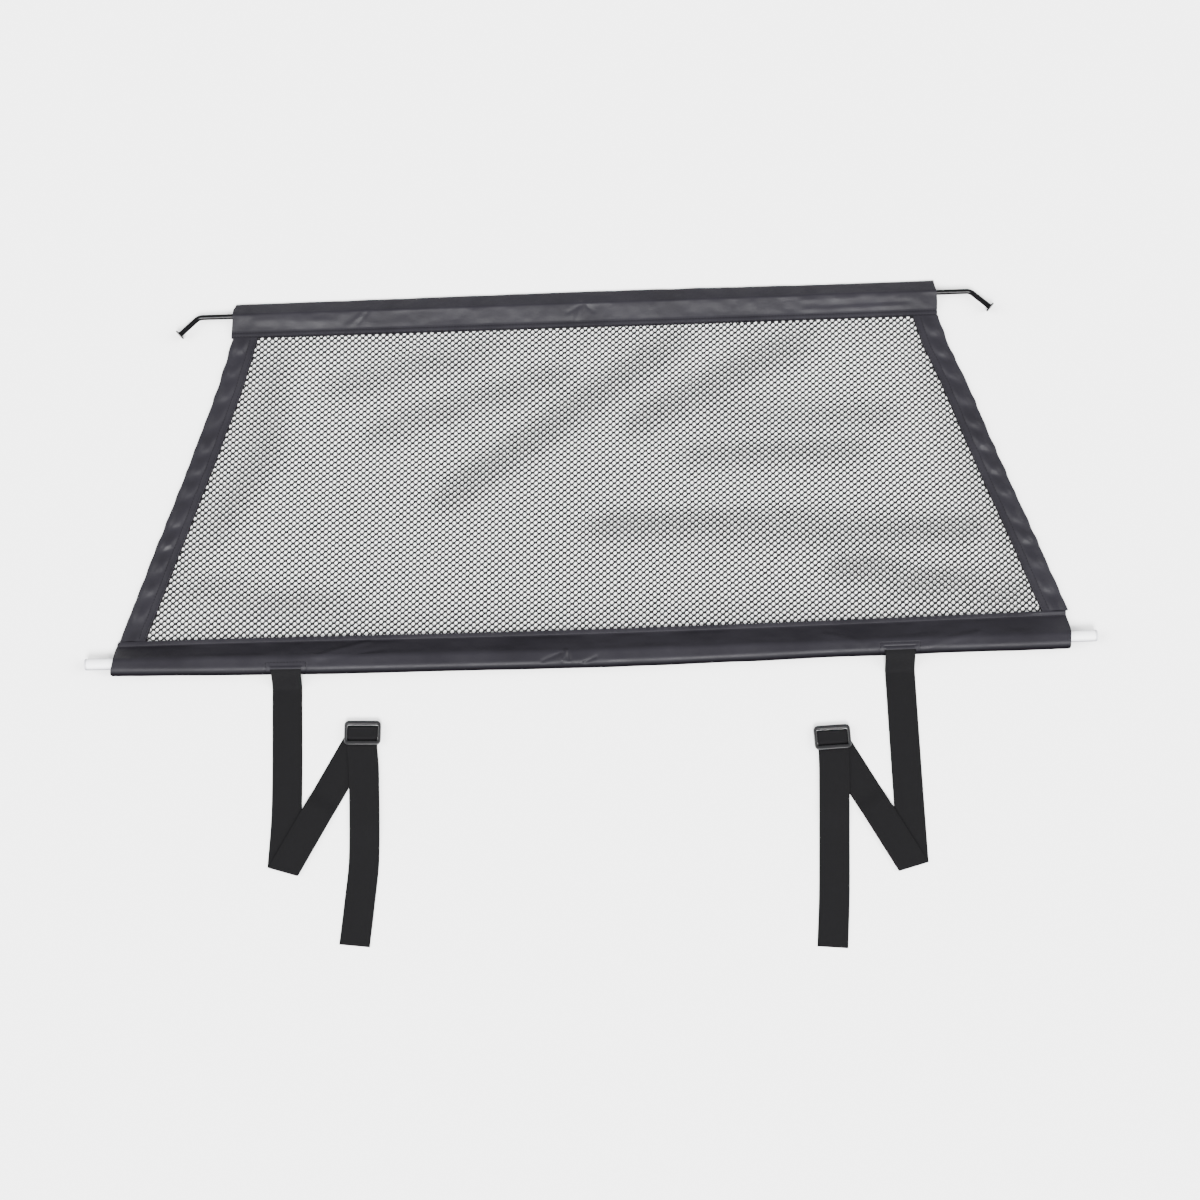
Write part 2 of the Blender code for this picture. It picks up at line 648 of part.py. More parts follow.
def buckle_body(strap):
    """A three-bar adjuster: a frame with round corners, and a bar across its middle."""
    low, high = BUCKLE_FLOOR, BUCKLE_FLOOR + BUCKLE.z
    profile = (  # which outline, how far it is drawn in, and the height
        ("outer", BUCKLE_EDGE, low),
        ("outer", 0.0, low + BUCKLE_EDGE),
        ("outer", 0.0, high - BUCKLE_EDGE),
        ("outer", BUCKLE_EDGE, high),
        ("window", BUCKLE_EDGE, high),
        ("window", 0.0, high - BUCKLE_EDGE),
        ("window", 0.0, low),
    )
    rings = []
    for which, drawn_in, z in profile:
        if which == "outer":
            size = (BUCKLE.x - 2 * drawn_in, BUCKLE.y - 2 * drawn_in, BUCKLE_CORNER - drawn_in)
        else:
            size = (WINDOW.x + 2 * drawn_in, WINDOW.y + 2 * drawn_in, WINDOW_CORNER + drawn_in)
        rings.append([(x, y, z) for x, y in rounded_outline(*size)])
    frame = stacked_rings(f"buckle_{strap.name}", "black_plastic", rings, closed=True)

    bar_length = (BUCKLE.x + WINDOW.x) / 2
    side, inner = BAR_WIDTH / 2, BAR_WIDTH / 2 - BAR_EDGE
    section = (
        (-inner, BAR_FLOOR),
        (inner, BAR_FLOOR),
        (side, BAR_FLOOR + BAR_EDGE),
        (side, BAR_TOP - BAR_EDGE),
        (inner, BAR_TOP),
        (-inner, BAR_TOP),
        (-side, BAR_TOP - BAR_EDGE),
        (-side, BAR_FLOOR + BAR_EDGE),
    )
    rings = [[(end * bar_length / 2, y, z) for y, z in section] for end in (-1, 1)]
    bar = stacked_rings(f"bar_{strap.name}", "black_plastic", rings)
    bar.hide_render = True
    bar.display_type = "WIRE"
    join = frame.modifiers.new("middle bar", "BOOLEAN")
    join.operation = "UNION"
    join.object = bar
    for piece in (frame, bar):
        piece.location = (strap.side * strap.buckle[0], strap.buckle[1], 0)
        piece.rotation_euler = (0, 0, strap.side * radians(strap.turn))
    return frame


def main():
    for old in list(bpy.data.objects):
        bpy.data.objects.remove(old)
    net_panel()
    sleeve("header_sleeve", HEADER_EDGES, HEADER_ENDS, rod_y, ROD_HEIGHT, ROD_POCKET, HEADER_FLANGE, 9)
    bottom = sleeve(
        "bottom_sleeve", BOTTOM_EDGES, BOTTOM_ENDS, tube_y, TUBE_HEIGHT, TUBE_POCKET, BOTTOM_FLANGE, 13
    )
    top_rod()
    bottom_tube()
    for side in (-1, 1):
        binding(side)
        rod_disc(side)
        tube_plug(side)
    for strap in STRAPS:
        strap_body(strap)
        cut_slit(bottom, strap)
        buckle_body(strap)


main()
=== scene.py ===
"""The looks of the car dog barrier net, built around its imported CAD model.

Metres, +Z up, in the frame's own coordinates. The cloth lies on the floor z = 0, X runs along the rods and +Y
points to the top rod. Outlines are read off the CAD nodes, and the fine shape of the cloth is made here.
"""

import json
from bisect import bisect_right
from collections import namedtuple
from functools import cache
from math import asin, atan2, ceil, cos, dist, exp, hypot, pi, radians, sin

import bpy
import numpy as np
from mathutils import Matrix, Vector, noise
from mathutils.bvhtree import BVHTree


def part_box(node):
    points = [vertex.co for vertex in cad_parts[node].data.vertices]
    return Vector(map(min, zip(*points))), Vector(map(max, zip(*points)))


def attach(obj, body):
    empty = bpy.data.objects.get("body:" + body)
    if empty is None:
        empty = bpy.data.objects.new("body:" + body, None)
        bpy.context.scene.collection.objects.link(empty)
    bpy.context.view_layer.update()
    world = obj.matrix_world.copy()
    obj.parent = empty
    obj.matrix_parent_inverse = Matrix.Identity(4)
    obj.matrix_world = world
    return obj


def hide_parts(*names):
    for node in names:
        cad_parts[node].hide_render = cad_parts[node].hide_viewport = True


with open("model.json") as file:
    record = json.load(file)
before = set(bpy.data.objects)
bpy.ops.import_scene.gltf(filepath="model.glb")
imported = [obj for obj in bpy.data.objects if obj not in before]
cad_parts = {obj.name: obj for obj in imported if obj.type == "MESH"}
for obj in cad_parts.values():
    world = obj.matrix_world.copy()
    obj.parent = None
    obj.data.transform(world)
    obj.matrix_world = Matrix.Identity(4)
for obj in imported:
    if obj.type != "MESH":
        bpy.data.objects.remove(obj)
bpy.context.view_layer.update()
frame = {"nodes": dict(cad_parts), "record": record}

MM = 0.001
BODY = "root"

# Cloth
LEATHER = 1.0 * MM
WEBBING = 1.4 * MM
CAD_NET = 1.2 * MM
GAP = 0.3 * MM  # between pieces that touch
LOW = LEATHER / 2  # the middle of a folded strip's lower layer
SEAM_HEIGHT = 1.5 * LEATHER + 2 * GAP + CAD_NET  # the middle of its upper layer at a seam

# Where rays look for the CAD pieces
FAR = 2.0
INSIDE_Y = 0.15  # a line across the middle of the net
NOSE_HEIGHT = 2.0 * MM  # where a level ray meets a fold

# Straps: their way out of the sleeve, their folded runs and their way through the adjuster
STRAP_WIDTH = 38.5 * MM
STRAP_BEGINS = radians(62)  # where the hidden end lies on the tube, from +Y over the top
STRAP_LEAVES = radians(96)  # where it leaves the tube
SLIT_WAY = 12.5 * MM  # its straight way through the slit
DROP_REACH = 9.5 * MM  # of the handles of the curve by which it drops to the floor
LANDING_Y = -0.0960  # the drop's lower end
FOLD_RADIUS = 1.0 * MM  # of the flat fold, to the middle of the webbing
SKEW_LENGTH = 0.040  # from the fold, where the cross lines lie square again
LIFTED_TO = 0.088  # from the fold, how far the second run lies on the first
LOWERED_BY = 0.108  # and where it has come down to the floor
ON_FLOOR = WEBBING / 2  # heights of the middle of the webbing
ON_STRAP = 1.5 * WEBBING + GAP
ON_FOLD = ON_FLOOR + 2 * FOLD_RADIUS
BAR_TOP = 4.6 * MM
OVER_BAR = BAR_TOP + GAP + WEBBING / 2
TURN_AT = 6.4 * MM  # from the adjuster's middle, where the webbing turns up
TURN_CORNER = -1.0 * MM  # and where it turns in the plane of the floor
TURN_LENGTH = 6.5 * MM  # of that turn, before its corner and after it
THREADED = 20.0 * MM  # from the adjuster's middle to the tail
TAIL_LIFTED_TO = -0.264  # the Y where the tail leaves the strap beneath it
TAIL_LOWERED_BY = -0.304  # and the Y where it has come down to the floor
WARP = 1.1 * MM  # between its warp threads
RIB = 1.55 * MM  # and between its ribs
RIB_DEPTH = 0.16 * MM

# Each strap's places, with X counted outward: its slit, the bend and the folded corner of its first run, how
# far the fold slips along itself, the adjuster with its turn, and the tail
Strap = namedtuple("Strap", "name side slit knee corner slip buckle turn tail")
STRAPS = (
    Strap(
        "left", -1, 0.3925, (0.3920, -0.2500), (0.3968, -0.3260), 0.0018, (0.2952, -0.1538), radians(1.75),
        ((0.2938, -0.2040), (0.2938, -0.3150), (0.3000, -0.3750), (0.3057, -0.4222)),
    ),
    Strap(
        "right", 1, 0.3972, (0.3980, -0.2500), (0.3988, -0.3421), 0.0008, (0.3052, -0.1766), radians(2.30),
        ((0.3054, -0.2210), (0.2997, -0.3325), (0.2966, -0.3825), (0.2915, -0.4408)),
    ),
)


# ---- curves ----


def smooth(rows, at):
    """A table's other columns at one value of its first, on a smooth curve through its rows."""
    last = len(rows) - 2
    i = min(max(bisect_right(rows, at, key=lambda row: row[0]) - 1, 0), last)
    a, b = rows[i], rows[i + 1]
    before, after = rows[max(i - 1, 0)], rows[min(i + 2, last + 1)]
    step = b[0] - a[0]
    t = (at - a[0]) / step
    values = []
    for k in range(1, len(a)):
        rise = (b[k] - a[k]) / step
        start = (b[k] - before[k]) / (b[0] - before[0]) if i else rise
        end = (after[k] - a[k]) / (after[0] - a[0]) if i < last else rise
        values.append(
            a[k] * (1 + 2 * t) * (1 - t) ** 2
            + b[k] * t * t * (3 - 2 * t)
            + step * (start * t * (1 - t) ** 2 + end * t * t * (t - 1))
        )
    return values if len(values) > 1 else values[0]


def ease(t):
    """0 before t = 0, 1 after t = 1, and a smooth step between."""
    t = min(max(t, 0.0), 1.0)
    return t * t * (3 - 2 * t)


def rising(x, start, end):
    """0 up to start, 1 from end on, and a smooth step between."""
    return ease((x - start) / (end - start))


def mix(a, b, t):
    return a + (b - a) * t


def bump(x, centre, width):
    """A soft bump, 1 high at its centre."""
    return exp(-(((x - centre) / width) ** 2))


def wave(x, y, size, seed):
    """Smooth noise between about -1 and 1, with features of that size."""
    return noise.noise(Vector((x / size, y / size, seed * 7.31)))


def arc(centre, radius, start, end, count):
    """Points round a circle in a plane, count steps apart, both ends included."""
    turns = [mix(start, end, i / count) for i in range(count + 1)]
    return [(centre[0] + radius * cos(turn), centre[1] + radius * sin(turn)) for turn in turns]


def stepped(points, count_of):
    """The same line, with each stretch from a to b in count_of(a, b) equal steps."""
    made = [points[0]]
    for a, b in zip(points, points[1:]):
        count = count_of(a, b)
        made += [(mix(a[0], b[0], i / count), mix(a[1], b[1], i / count)) for i in range(1, count + 1)]
    return made


def fine(points, step):
    """The same line with points no more than step apart."""
    return stepped(points, lambda a, b: ceil(dist(a, b) / step - 1e-6))


def travelled(points, apart=dist):
    """How far along a line each of its points lies."""
    far = [0.0]
    for a, b in zip(points, points[1:]):
        far.append(far[-1] + apart(a, b))
    return far


def vectors_apart(a, b):
    return (b - a).length


def curve_through(points, step):
    """Points about step apart on a smooth plane curve through the points given."""
    rows = [(far, *point) for far, point in zip(travelled(points), points)]
    length = rows[-1][0]
    count = ceil(length / step)
    return [tuple(smooth(rows, length * i / count)) for i in range(count + 1)]


def bezier(handles, count):
    """Points in a plane on the cubic curve of four handles, in count steps."""
    points = []
    for i in range(count + 1):
        t = i / count
        weights = ((1 - t) ** 3, 3 * t * (1 - t) ** 2, 3 * t * t * (1 - t), t**3)
        points.append(tuple(sum(w * h[k] for w, h in zip(weights, handles)) for k in (0, 1)))
    return points


# ---- reading the CAD nodes ----

@cache
def tree_of(node):
    """The faces of a CAD node, to look for where rays meet it."""
    mesh = frame["nodes"][node].data
    return BVHTree.FromPolygons([v.co for v in mesh.vertices], [p.vertices for p in mesh.polygons])


def hit(node, start, way):
    """Where a ray first meets a CAD node."""
    point = tree_of(node).ray_cast(Vector(start), Vector(way))[0]
    if point is None:
        raise RuntimeError(f"no point of {node} lies in the way from {start}")
    return point


def table_of(samples, measure):
    """A smooth function through what measure gives at each sample."""
    rows = [(s, measure(s)) for s in samples]
    return lambda at: smooth(rows, at)


def spread(low, high, count, margin):
    return [mix(low + margin, high - margin, i / (count - 1)) for i in range(count)]


def sleeve_outline(node, toward):
    """A sleeve's seam and fold, as functions of X, and its two ends' X at the seam and at the fold."""
    low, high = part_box(node)
    samples = spread(low.x, high.x, 15, 8 * MM)
    seam = table_of(samples, lambda x: hit(node, (x, INSIDE_Y, LOW), (0, toward, 0)).y)
    fold = table_of(samples, lambda x: hit(node, (x, FAR * toward, NOSE_HEIGHT), (0, -toward, 0)).y)
    ends = []
    for side, x in ((-1, low.x), (1, high.x)):
        inside = (seam(x) + toward * 1.5 * MM, fold(x) - toward * 2.5 * MM)
        ends.append([hit(node, (FAR * side, y, LOW), (-side, 0, 0)).x for y in inside])
    return seam, fold, ends


def bar_line(node, x_range):
    """A bar's Y as a function of X, with its height and its radius."""
    low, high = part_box(node)
    height, radius = (low.z + high.z) / 2, (high.z - low.z) / 2
    samples = spread(*x_range, 13, 0.0)
    return table_of(samples, lambda x: hit(node, (x, FAR, height), (0, -1, 0)).y - radius), height, radius


header_seam, header_fold, header_ends = sleeve_outline("header_sleeve", 1)
bottom_seam, bottom_fold, bottom_ends = sleeve_outline("bottom_sleeve", -1)
header_low, header_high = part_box("header_sleeve")
bottom_low, bottom_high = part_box("bottom_sleeve")
rod_y, rod_height, _ = bar_line("top_rod", (-0.47, 0.47))
tube_low, tube_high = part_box("bottom_tube")
tube_y, tube_height, tube_radius = bar_line("bottom_tube", (tube_low.x + MM, tube_high.x - MM))
NET_LENGTH = header_seam(0) - bottom_seam(0)
STRAP_ROUND = tube_radius + GAP + WEBBING / 2  # the radius of a strap's hidden end


def binding_outline(side):
    """A binding's outer edge and inner edge, as functions of Y."""
    node = "binding_left" if side < 0 else "binding_right"
    low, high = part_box(node)
    samples = spread(low.y, high.y, 13, 6 * MM)
    outer = table_of(samples, lambda y: hit(node, (FAR * side, y, NOSE_HEIGHT), (-side, 0, 0)).x)
    inner = table_of(samples, lambda y: hit(node, (0, y, LOW), (side, 0, 0)).x)
    return outer, inner


side_edges = {side: binding_outline(side) for side in (-1, 1)}


# ---- meshes ----


def put(name, data):
    """A new object of the scene."""
    made = bpy.data.objects.new(name, data)
    bpy.context.collection.objects.link(made)
    return made


def add_mesh(name, points, faces, material, sharp=None):
    mesh = bpy.data.meshes.new(name)
    mesh.from_pydata([tuple(p) for p in points], [], faces)
    mesh.update()
    mesh.shade_smooth()
    if sharp is not None:
        mesh.set_sharp_from_angle(angle=sharp)
    mesh.materials.append(material)
    made = put(name, mesh)
    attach(made, BODY)
    return made


def grid_normals(grid):
    """Unit normals of a grid of points, as an array of the same shape."""
    along = np.gradient(grid, axis=0)
    across = np.gradient(grid, axis=1)
    normals = np.cross(along, across)
    return normals / np.maximum(np.linalg.norm(normals, axis=2, keepdims=True), 1e-12)


def sheet_piece(name, grid, thickness, material, uv=None, open_at=None):
    """A sheet with its thickness, which may vary over it: grid holds the points of its middle surface.
    Squares whose middle open_at(middle) takes are left out."""
    grid = np.asarray(grid, float)
    rows, columns = grid.shape[:2]
    offset = grid_normals(grid) * (np.broadcast_to(thickness, (rows, columns))[..., None] / 2)
    points = np.concatenate([(grid - offset).reshape(-1, 3), (grid + offset).reshape(-1, 3)])
    half = rows * columns
    a = (np.arange(rows - 1)[:, None] * columns + np.arange(columns - 1)).ravel()
    near = np.stack([a, a + 1, a + columns + 1, a + columns], 1)
    if open_at is not None:
        middles = grid.reshape(-1, 3)[near].mean(1)
        near = near[[not open_at(m) for m in middles]]
    edges = {(q[k], q[(k + 1) % 4]) for q in near.tolist() for k in range(4)}
    rim = sorted(e for e in edges if e[::-1] not in edges)
    walls = np.array([(b, a, half + a, half + b) for a, b in rim])
    faces = np.concatenate([near, half + near[:, ::-1], walls])
    made = add_mesh(name, points, faces.tolist(), material, sharp=radians(50))
    if uv is not None:
        uv = np.concatenate([np.asarray(uv, float).reshape(-1, 2)] * 2)
        layer = made.data.uv_layers.new(name="cloth")
        layer.data.foreach_set("uv", uv[faces.ravel()].ravel())
    return made


def ring_faces(first, rings, count, closed=False):
    """The faces of a body through rings of count points each, from the point of index first on. It is capped
    at both ends, or closed on itself."""
    faces = []
    for i in range(rings if closed else rings - 1):
        a, b = first + i * count, first + (i + 1) % rings * count
        faces += [(a + k, a + (k + 1) % count, b + (k + 1) % count, b + k) for k in range(count)]
    if not closed:
        last = first + (rings - 1) * count
        faces += [tuple(range(first, first + count))[::-1], tuple(range(last, last + count))]
    return faces


def stacked_rings(name, rings, material, closed=False):
    """A body through rings of as many points each."""
    faces = ring_faces(0, len(rings), len(rings[0]), closed)
    return add_mesh(name, [p for ring in rings for p in ring], faces, material, sharp=radians(40))


# ---- materials ----


class Look:
    """A procedural material, with short ways to add its nodes."""

    def __init__(self, name, colour, roughness, specular=0.5):
        self.material = bpy.data.materials.new(name)
        self.material.use_nodes = True
        self.nodes = self.material.node_tree.nodes
        self.links = self.material.node_tree.links
        self.shader = self.nodes["Principled BSDF"]
        self.place = self.add("TexCoord")["Object"]
        self.normal = None
        self.feed(self.shader, {"Base Color": (*colour, 1.0), "Roughness": roughness})
        self.feed(self.shader, {"Specular IOR Level": specular})

    def feed(self, node, inputs):
        """Gives a node's inputs their values, or links them to other nodes' outputs."""
        for socket, value in inputs.items():
            if isinstance(value, bpy.types.NodeSocket):
                self.links.new(value, node.inputs[socket])
            else:
                node.inputs[socket].default_value = value

    def add(self, kind, inputs=None, **settings):
        """The outputs of a new node."""
        node = self.nodes.new("ShaderNode" + kind)
        for setting, value in settings.items():
            setattr(node, setting, value)
        self.feed(node, inputs or {})
        return node.outputs

    def noise(self, scale, detail, stretch=None):
        """Soft noise, drawn out along the axes whose stretch is small."""
        place = self.place
        if stretch is not None:
            place = self.add("Mapping", {"Scale": stretch, "Vector": place})["Vector"]
        return self.add("TexNoise", {"Scale": scale, "Detail": detail, "Vector": place})["Fac"]

    def cells(self, scale):
        """The distance to the nearest edge in a pattern of uneven cells."""
        inputs = {"Scale": scale, "Vector": self.place}
        return self.add("TexVoronoi", inputs, feature="DISTANCE_TO_EDGE")["Distance"]

    def ramp(self, value, low, high, to_low, to_high):
        inputs = {"From Min": low, "From Max": high, "To Min": to_low, "To Max": to_high}
        return self.add("MapRange", {**inputs, "Value": value})["Result"]

    def maths(self, operation, a, b=0.0):
        return self.add("Math", {0: a, 1: b}, operation=operation)["Value"]

    def colours(self, value, low, high):
        mixed = self.add("Mix", {0: value, 6: (*low, 1.0), 7: (*high, 1.0)}, data_type="RGBA")[2]
        self.feed(self.shader, {"Base Color": mixed})

    def roughness(self, value, low, high):
        self.feed(self.shader, {"Roughness": self.ramp(value, 0.3, 0.7, low, high)})

    def specular(self, value, low, high):
        self.feed(self.shader, {"Specular IOR Level": self.ramp(value, 0.0, 1.0, low, high)})

    def level(self, steep, flat):
        """0 where a face is steep, 1 where it lies level, by the height of its normal: the mask that paints
        shade on steep faces and takes their gloss away.
        """
        normal = self.add("NewGeometry")["Normal"]
        return self.ramp(self.add("SeparateXYZ", {"Vector": normal})["Z"], steep, flat, 0.0, 1.0)

    def relief(self, height, depth, strength):
        """Adds a bump of that depth in metres."""
        inputs = {"Strength": strength, "Distance": depth, "Height": height}
        if self.normal is not None:
            inputs["Normal"] = self.normal
        self.normal = self.add("Bump", inputs)["Normal"]
        self.feed(self.shader, {"Normal": self.normal})


def leather_look():
    look = Look("soft_leather", (0.009, 0.0085, 0.0105), 0.40)
    # Steep faces, the walls and under-edges of the folds, are painted darker and lose their gloss: painted
    # shade, over a random tone.
    level = look.level(0.50, 0.85)
    tone = look.ramp(look.noise(14.0, 3.0), 0.3, 0.7, 0.6, 1.0)
    look.colours(look.maths("MULTIPLY", tone, level), (0.0040, 0.0037, 0.0048), (0.0120, 0.0113, 0.0141))
    look.specular(level, 0.0, 0.08)
    look.roughness(look.noise(45.0, 2.0), 0.32, 0.48)
    look.relief(look.ramp(look.cells(950.0), 0.0, 0.35, 0.0, 1.0), 0.10 * MM, 0.55)
    look.relief(look.noise(160.0, 3.0), 0.35 * MM, 0.5)
    return look.material


def net_look():
    look = Look("net_thread", (0.004, 0.004, 0.0045), 0.7, specular=0.1)
    look.colours(look.noise(60.0, 2.0), (0.007, 0.007, 0.0078), (0.011, 0.011, 0.012))
    look.relief(look.noise(2600.0, 2.0), 0.12 * MM, 0.8)
    return look.material


def webbing_look():
    """The warp threads show as rows of small humps, each row half a rib further on."""
    look = Look("ribbed_webbing", (0.004, 0.004, 0.0045), 0.80, specular=0.08)
    cloth = look.add("UVMap", uv_map="cloth")["UV"]
    split = look.add("SeparateXYZ", {"Vector": cloth})
    row = look.maths("MULTIPLY", split["X"], 1 / WARP)
    shift = look.maths("MULTIPLY", look.maths("FLOOR", row), 0.5)
    along = look.maths("ADD", look.maths("MULTIPLY", split["Y"], 1 / RIB), shift)
    swells = [
        look.maths("ABSOLUTE", look.maths("SINE", look.maths("MULTIPLY", turn, pi))) for turn in (row, along)
    ]
    humps = look.maths("MULTIPLY", *swells)
    # The hollows between the humps are painted darker than their tops: painted shade, beside the humps' bump.
    look.colours(humps, (0.0016, 0.0016, 0.0018), (0.0042, 0.0040, 0.0047))
    look.relief(humps, 0.22 * MM, 0.8)
    look.relief(look.noise(3000.0, 2.0), 0.06 * MM, 0.6)
    return look.material


def thread_look():
    look = Look("sewing_thread", (0.004, 0.004, 0.0047), 0.75, specular=0.05)
    look.relief(look.noise(4000.0, 1.0), 0.05 * MM, 0.6)
    return look.material


def gloss_steel_look():
    look = Look("gloss_black_steel", (0.003, 0.003, 0.0033), 0.20)
    look.colours(look.noise(30.0, 2.0), (0.0020, 0.0020, 0.0023), (0.0030, 0.0028, 0.0034))
    look.specular(look.level(0.55, 0.85), 0.01, 0.10)
    look.roughness(look.noise(220.0, 3.0), 0.17, 0.28)
    look.relief(look.noise(900.0, 3.0), 0.02 * MM, 0.4)
    return look.material


def bright_tube_look():
    look = Look("bright_tube", (0.76, 0.76, 0.79), 0.22)
    # The tube's steep sides are painted dark grey and lose their gloss: painted shade that draws its edge
    # lines on the white paint.
    level = look.level(0.15, 0.80)
    look.colours(level, (0.09, 0.09, 0.11), (0.84, 0.84, 0.87))
    look.specular(level, 0.05, 0.5)
    look.roughness(look.noise(80.0, 3.0, stretch=(0.05, 1, 1)), 0.18, 0.30)
    look.relief(look.noise(700.0, 3.0, stretch=(0.04, 1, 1)), 0.01 * MM, 0.4)
    return look.material


def pale_plug_look():
    look = Look("pale_plug", (0.42, 0.42, 0.46), 0.35)
    # The plug's steep faces are painted darker: painted shade, which draws a dark line round its end.
    look.colours(look.level(0.15, 0.80), (0.12, 0.12, 0.14), (0.50, 0.50, 0.54))
    look.relief(look.noise(1500.0, 2.0), 0.02 * MM, 0.5)
    return look.material


def moulded_look():
    look = Look("moulded_black", (0.005, 0.005, 0.0056), 0.34, specular=0.3)
    look.colours(look.noise(90.0, 2.0), (0.004, 0.004, 0.0045), (0.0062, 0.0062, 0.007))
    look.roughness(look.noise(500.0, 2.0), 0.28, 0.42)
    look.relief(look.noise(2200.0, 2.0), 0.04 * MM, 0.5)
    return look.material
LOOKS = {
    "leather": leather_look(),
    "net": net_look(),
    "webbing": webbing_look(),
    "thread": thread_look(),
    "black_steel": gloss_steel_look(),
    "pale_metal": bright_tube_look(),
    "pale_plastic": pale_plug_look(),
    "black_plastic": moulded_look(),
}


# ---- camera, floor and light ----

CAMERA_ELEVATION = radians(77)
CAMERA_ROLL = radians(1.65)
CAMERA_DISTANCE = 2.474
CAMERA_LENS = 57.0
AIM = Vector((0.0135, 0.0127, 0.0))

# Broad soft lights: each one's turn from +X, its height and its width in degrees, and its strength
SUNS = (
    (-90, 48, 26, 11.0),
    (180, 32, 50, 6.6),
    (0, 32, 50, 6.6),
)
WORLD_STRENGTH = 0.6
FLOOR_REACH = 12.0
FLOOR_DROP = 0.2 * MM  # below what lies on it


def add_camera():
    ahead = Vector((0, cos(CAMERA_ELEVATION), -sin(CAMERA_ELEVATION)))
    up = Vector((0, sin(CAMERA_ELEVATION), cos(CAMERA_ELEVATION)))
    right = Vector((1, 0, 0))
    x = right * cos(CAMERA_ROLL) - up * sin(CAMERA_ROLL)
    y = right * sin(CAMERA_ROLL) + up * cos(CAMERA_ROLL)
    camera = bpy.data.cameras.new("camera")
    camera.lens = CAMERA_LENS
    camera.sensor_width = 36.0
    placed = put("camera", camera)
    turned = Matrix((x, y, -ahead)).transposed().to_4x4()
    placed.matrix_world = Matrix.Translation(AIM - ahead * CAMERA_DISTANCE) @ turned
    bpy.context.scene.camera = placed


def add_sun(name, turn, height, width, strength):
    light = bpy.data.lights.new(name, "SUN")
    light.angle = width
    light.energy = strength
    way = Vector((cos(turn) * cos(height), sin(turn) * cos(height), sin(height)))
    turned = way.to_track_quat("Z", "Y").to_matrix().to_4x4()
    put(name, light).matrix_world = Matrix.Translation(way * 3.0) @ turned


def add_studio():
    world = bpy.data.worlds.new("studio")
    world.use_nodes = True
    background = world.node_tree.nodes["Background"].inputs
    background["Color"].default_value = (1.0, 1.0, 1.0, 1.0)
    background["Strength"].default_value = WORLD_STRENGTH
    bpy.context.scene.world = world
    for k, (turn, height, width, strength) in enumerate(SUNS, 1):
        add_sun(f"soft_light_{k}", radians(turn), radians(height), radians(width), strength)
    look = Look("pale_floor", (0.93, 0.93, 0.93), 0.75)
    look.colours(look.noise(3.0, 2.0), (0.925, 0.925, 0.925), (0.935, 0.935, 0.935))
    corners = [(-1, -1), (1, -1), (1, 1), (-1, 1)]
    mesh = bpy.data.meshes.new("floor")
    points = [(x * FLOOR_REACH, y * FLOOR_REACH, -FLOOR_DROP) for x, y in corners]
    mesh.from_pydata(points, [], [(0, 1, 2, 3)])
    mesh.materials.append(look.material)
    put("floor", mesh)


# ---- leather strips ----

STATION = 2.4 * MM  # between the cross lines of a strip
COLUMN = 1.3 * MM  # between the points of a cross line
NOSE_RADIUS = 1.5 * MM  # of the header's fold
BINDING_NOSE = (SEAM_HEIGHT - LOW) / 2  # the radius of a binding's fold
ROLL_RADIUS = 9.0 * MM  # of the upper bend of the bottom sleeve's fold

# A binding's rows of stitches and the raised leather between them, as distances from its edge
BINDING_LINES = (2.7 * MM, 9.6 * MM)
BINDING_WELT = (6.2 * MM,)
GROOVE = 0.9 * MM  # the width of a row's groove
GROOVE_DEPTH = 0.30 * MM
WELT = 2.2 * MM  # the width of the raised leather
WELT_HEIGHT = 0.22 * MM


def seam_relief(distance, lines, welt):
    """How a sewn edge rises and sinks, at a distance from the strip's edge."""
    sunk = sum(bump(distance, line, GROOVE) for line in lines)
    raised = sum(bump(distance, middle, WELT) for middle in welt)
    return WELT_HEIGHT * raised - GROOVE_DEPTH * sunk


def on_upper_layer(z):
    """0 on a strip's lower layer, 1 on its upper one."""
    return rising(z, 1.2 * LEATHER, 2.7 * LEATHER)


def distances_from_end(section):
    """For each point of a section, how far it is from the last one along the section."""
    return travelled(section[::-1])[::-1]


def straight(points, count):
    """The same line with each of its stretches in count steps."""
    return stepped(points, lambda a, b: count)


def sleeve_section(width, rollers, flange):
    """The middle of a sleeve's leather, as (distance from the fold, height), from its lower seam edge
    round its rollers to its upper seam edge. A roller is the centre and radius of a round bend."""
    seam = (width - flange, SEAM_HEIGHT)
    ways = [pi]
    for (a, radius), (b, next_radius) in zip(rollers, rollers[1:]):
        ways.append(atan2(b[1] - a[1], b[0] - a[0]) + asin((next_radius - radius) / dist(a, b)))
    bar, pocket = rollers[-1]
    to_seam = (seam[0] - bar[0], seam[1] - bar[1])
    ways.append(atan2(to_seam[1], to_seam[0]) - asin(pocket / hypot(*to_seam)))
    points = straight([(width, LOW), (bar[0], LOW), (rollers[0][0][0], LOW)], 8)
    for k, (centre, radius) in enumerate(rollers):
        turn = arc(centre, radius, ways[k] + pi / 2, ways[k + 1] + pi / 2, 5 if k == 0 else 12)
        points += straight([points[-1], turn[0]], 5)[1:] if k else []
        points += turn[1:]
    return points + straight([points[-1], seam, (width, SEAM_HEIGHT)], 12)[1:]


def spaced(stops):
    """Places from the first stop to the last, each stop with the step that holds from there on."""
    places = [stops[0][0]]
    for (a, step), (b, _) in zip(stops, stops[1:]):
        count = ceil((b - a) / step - 1e-6)
        places += [mix(a, b, i / count) for i in range(1, count + 1)]
    return places


def upward(normals):
    """The same normals, turned so that those of a strip's upper face point up."""
    return -normals if normals[len(normals) // 2, -1, 2] < 0 else normals


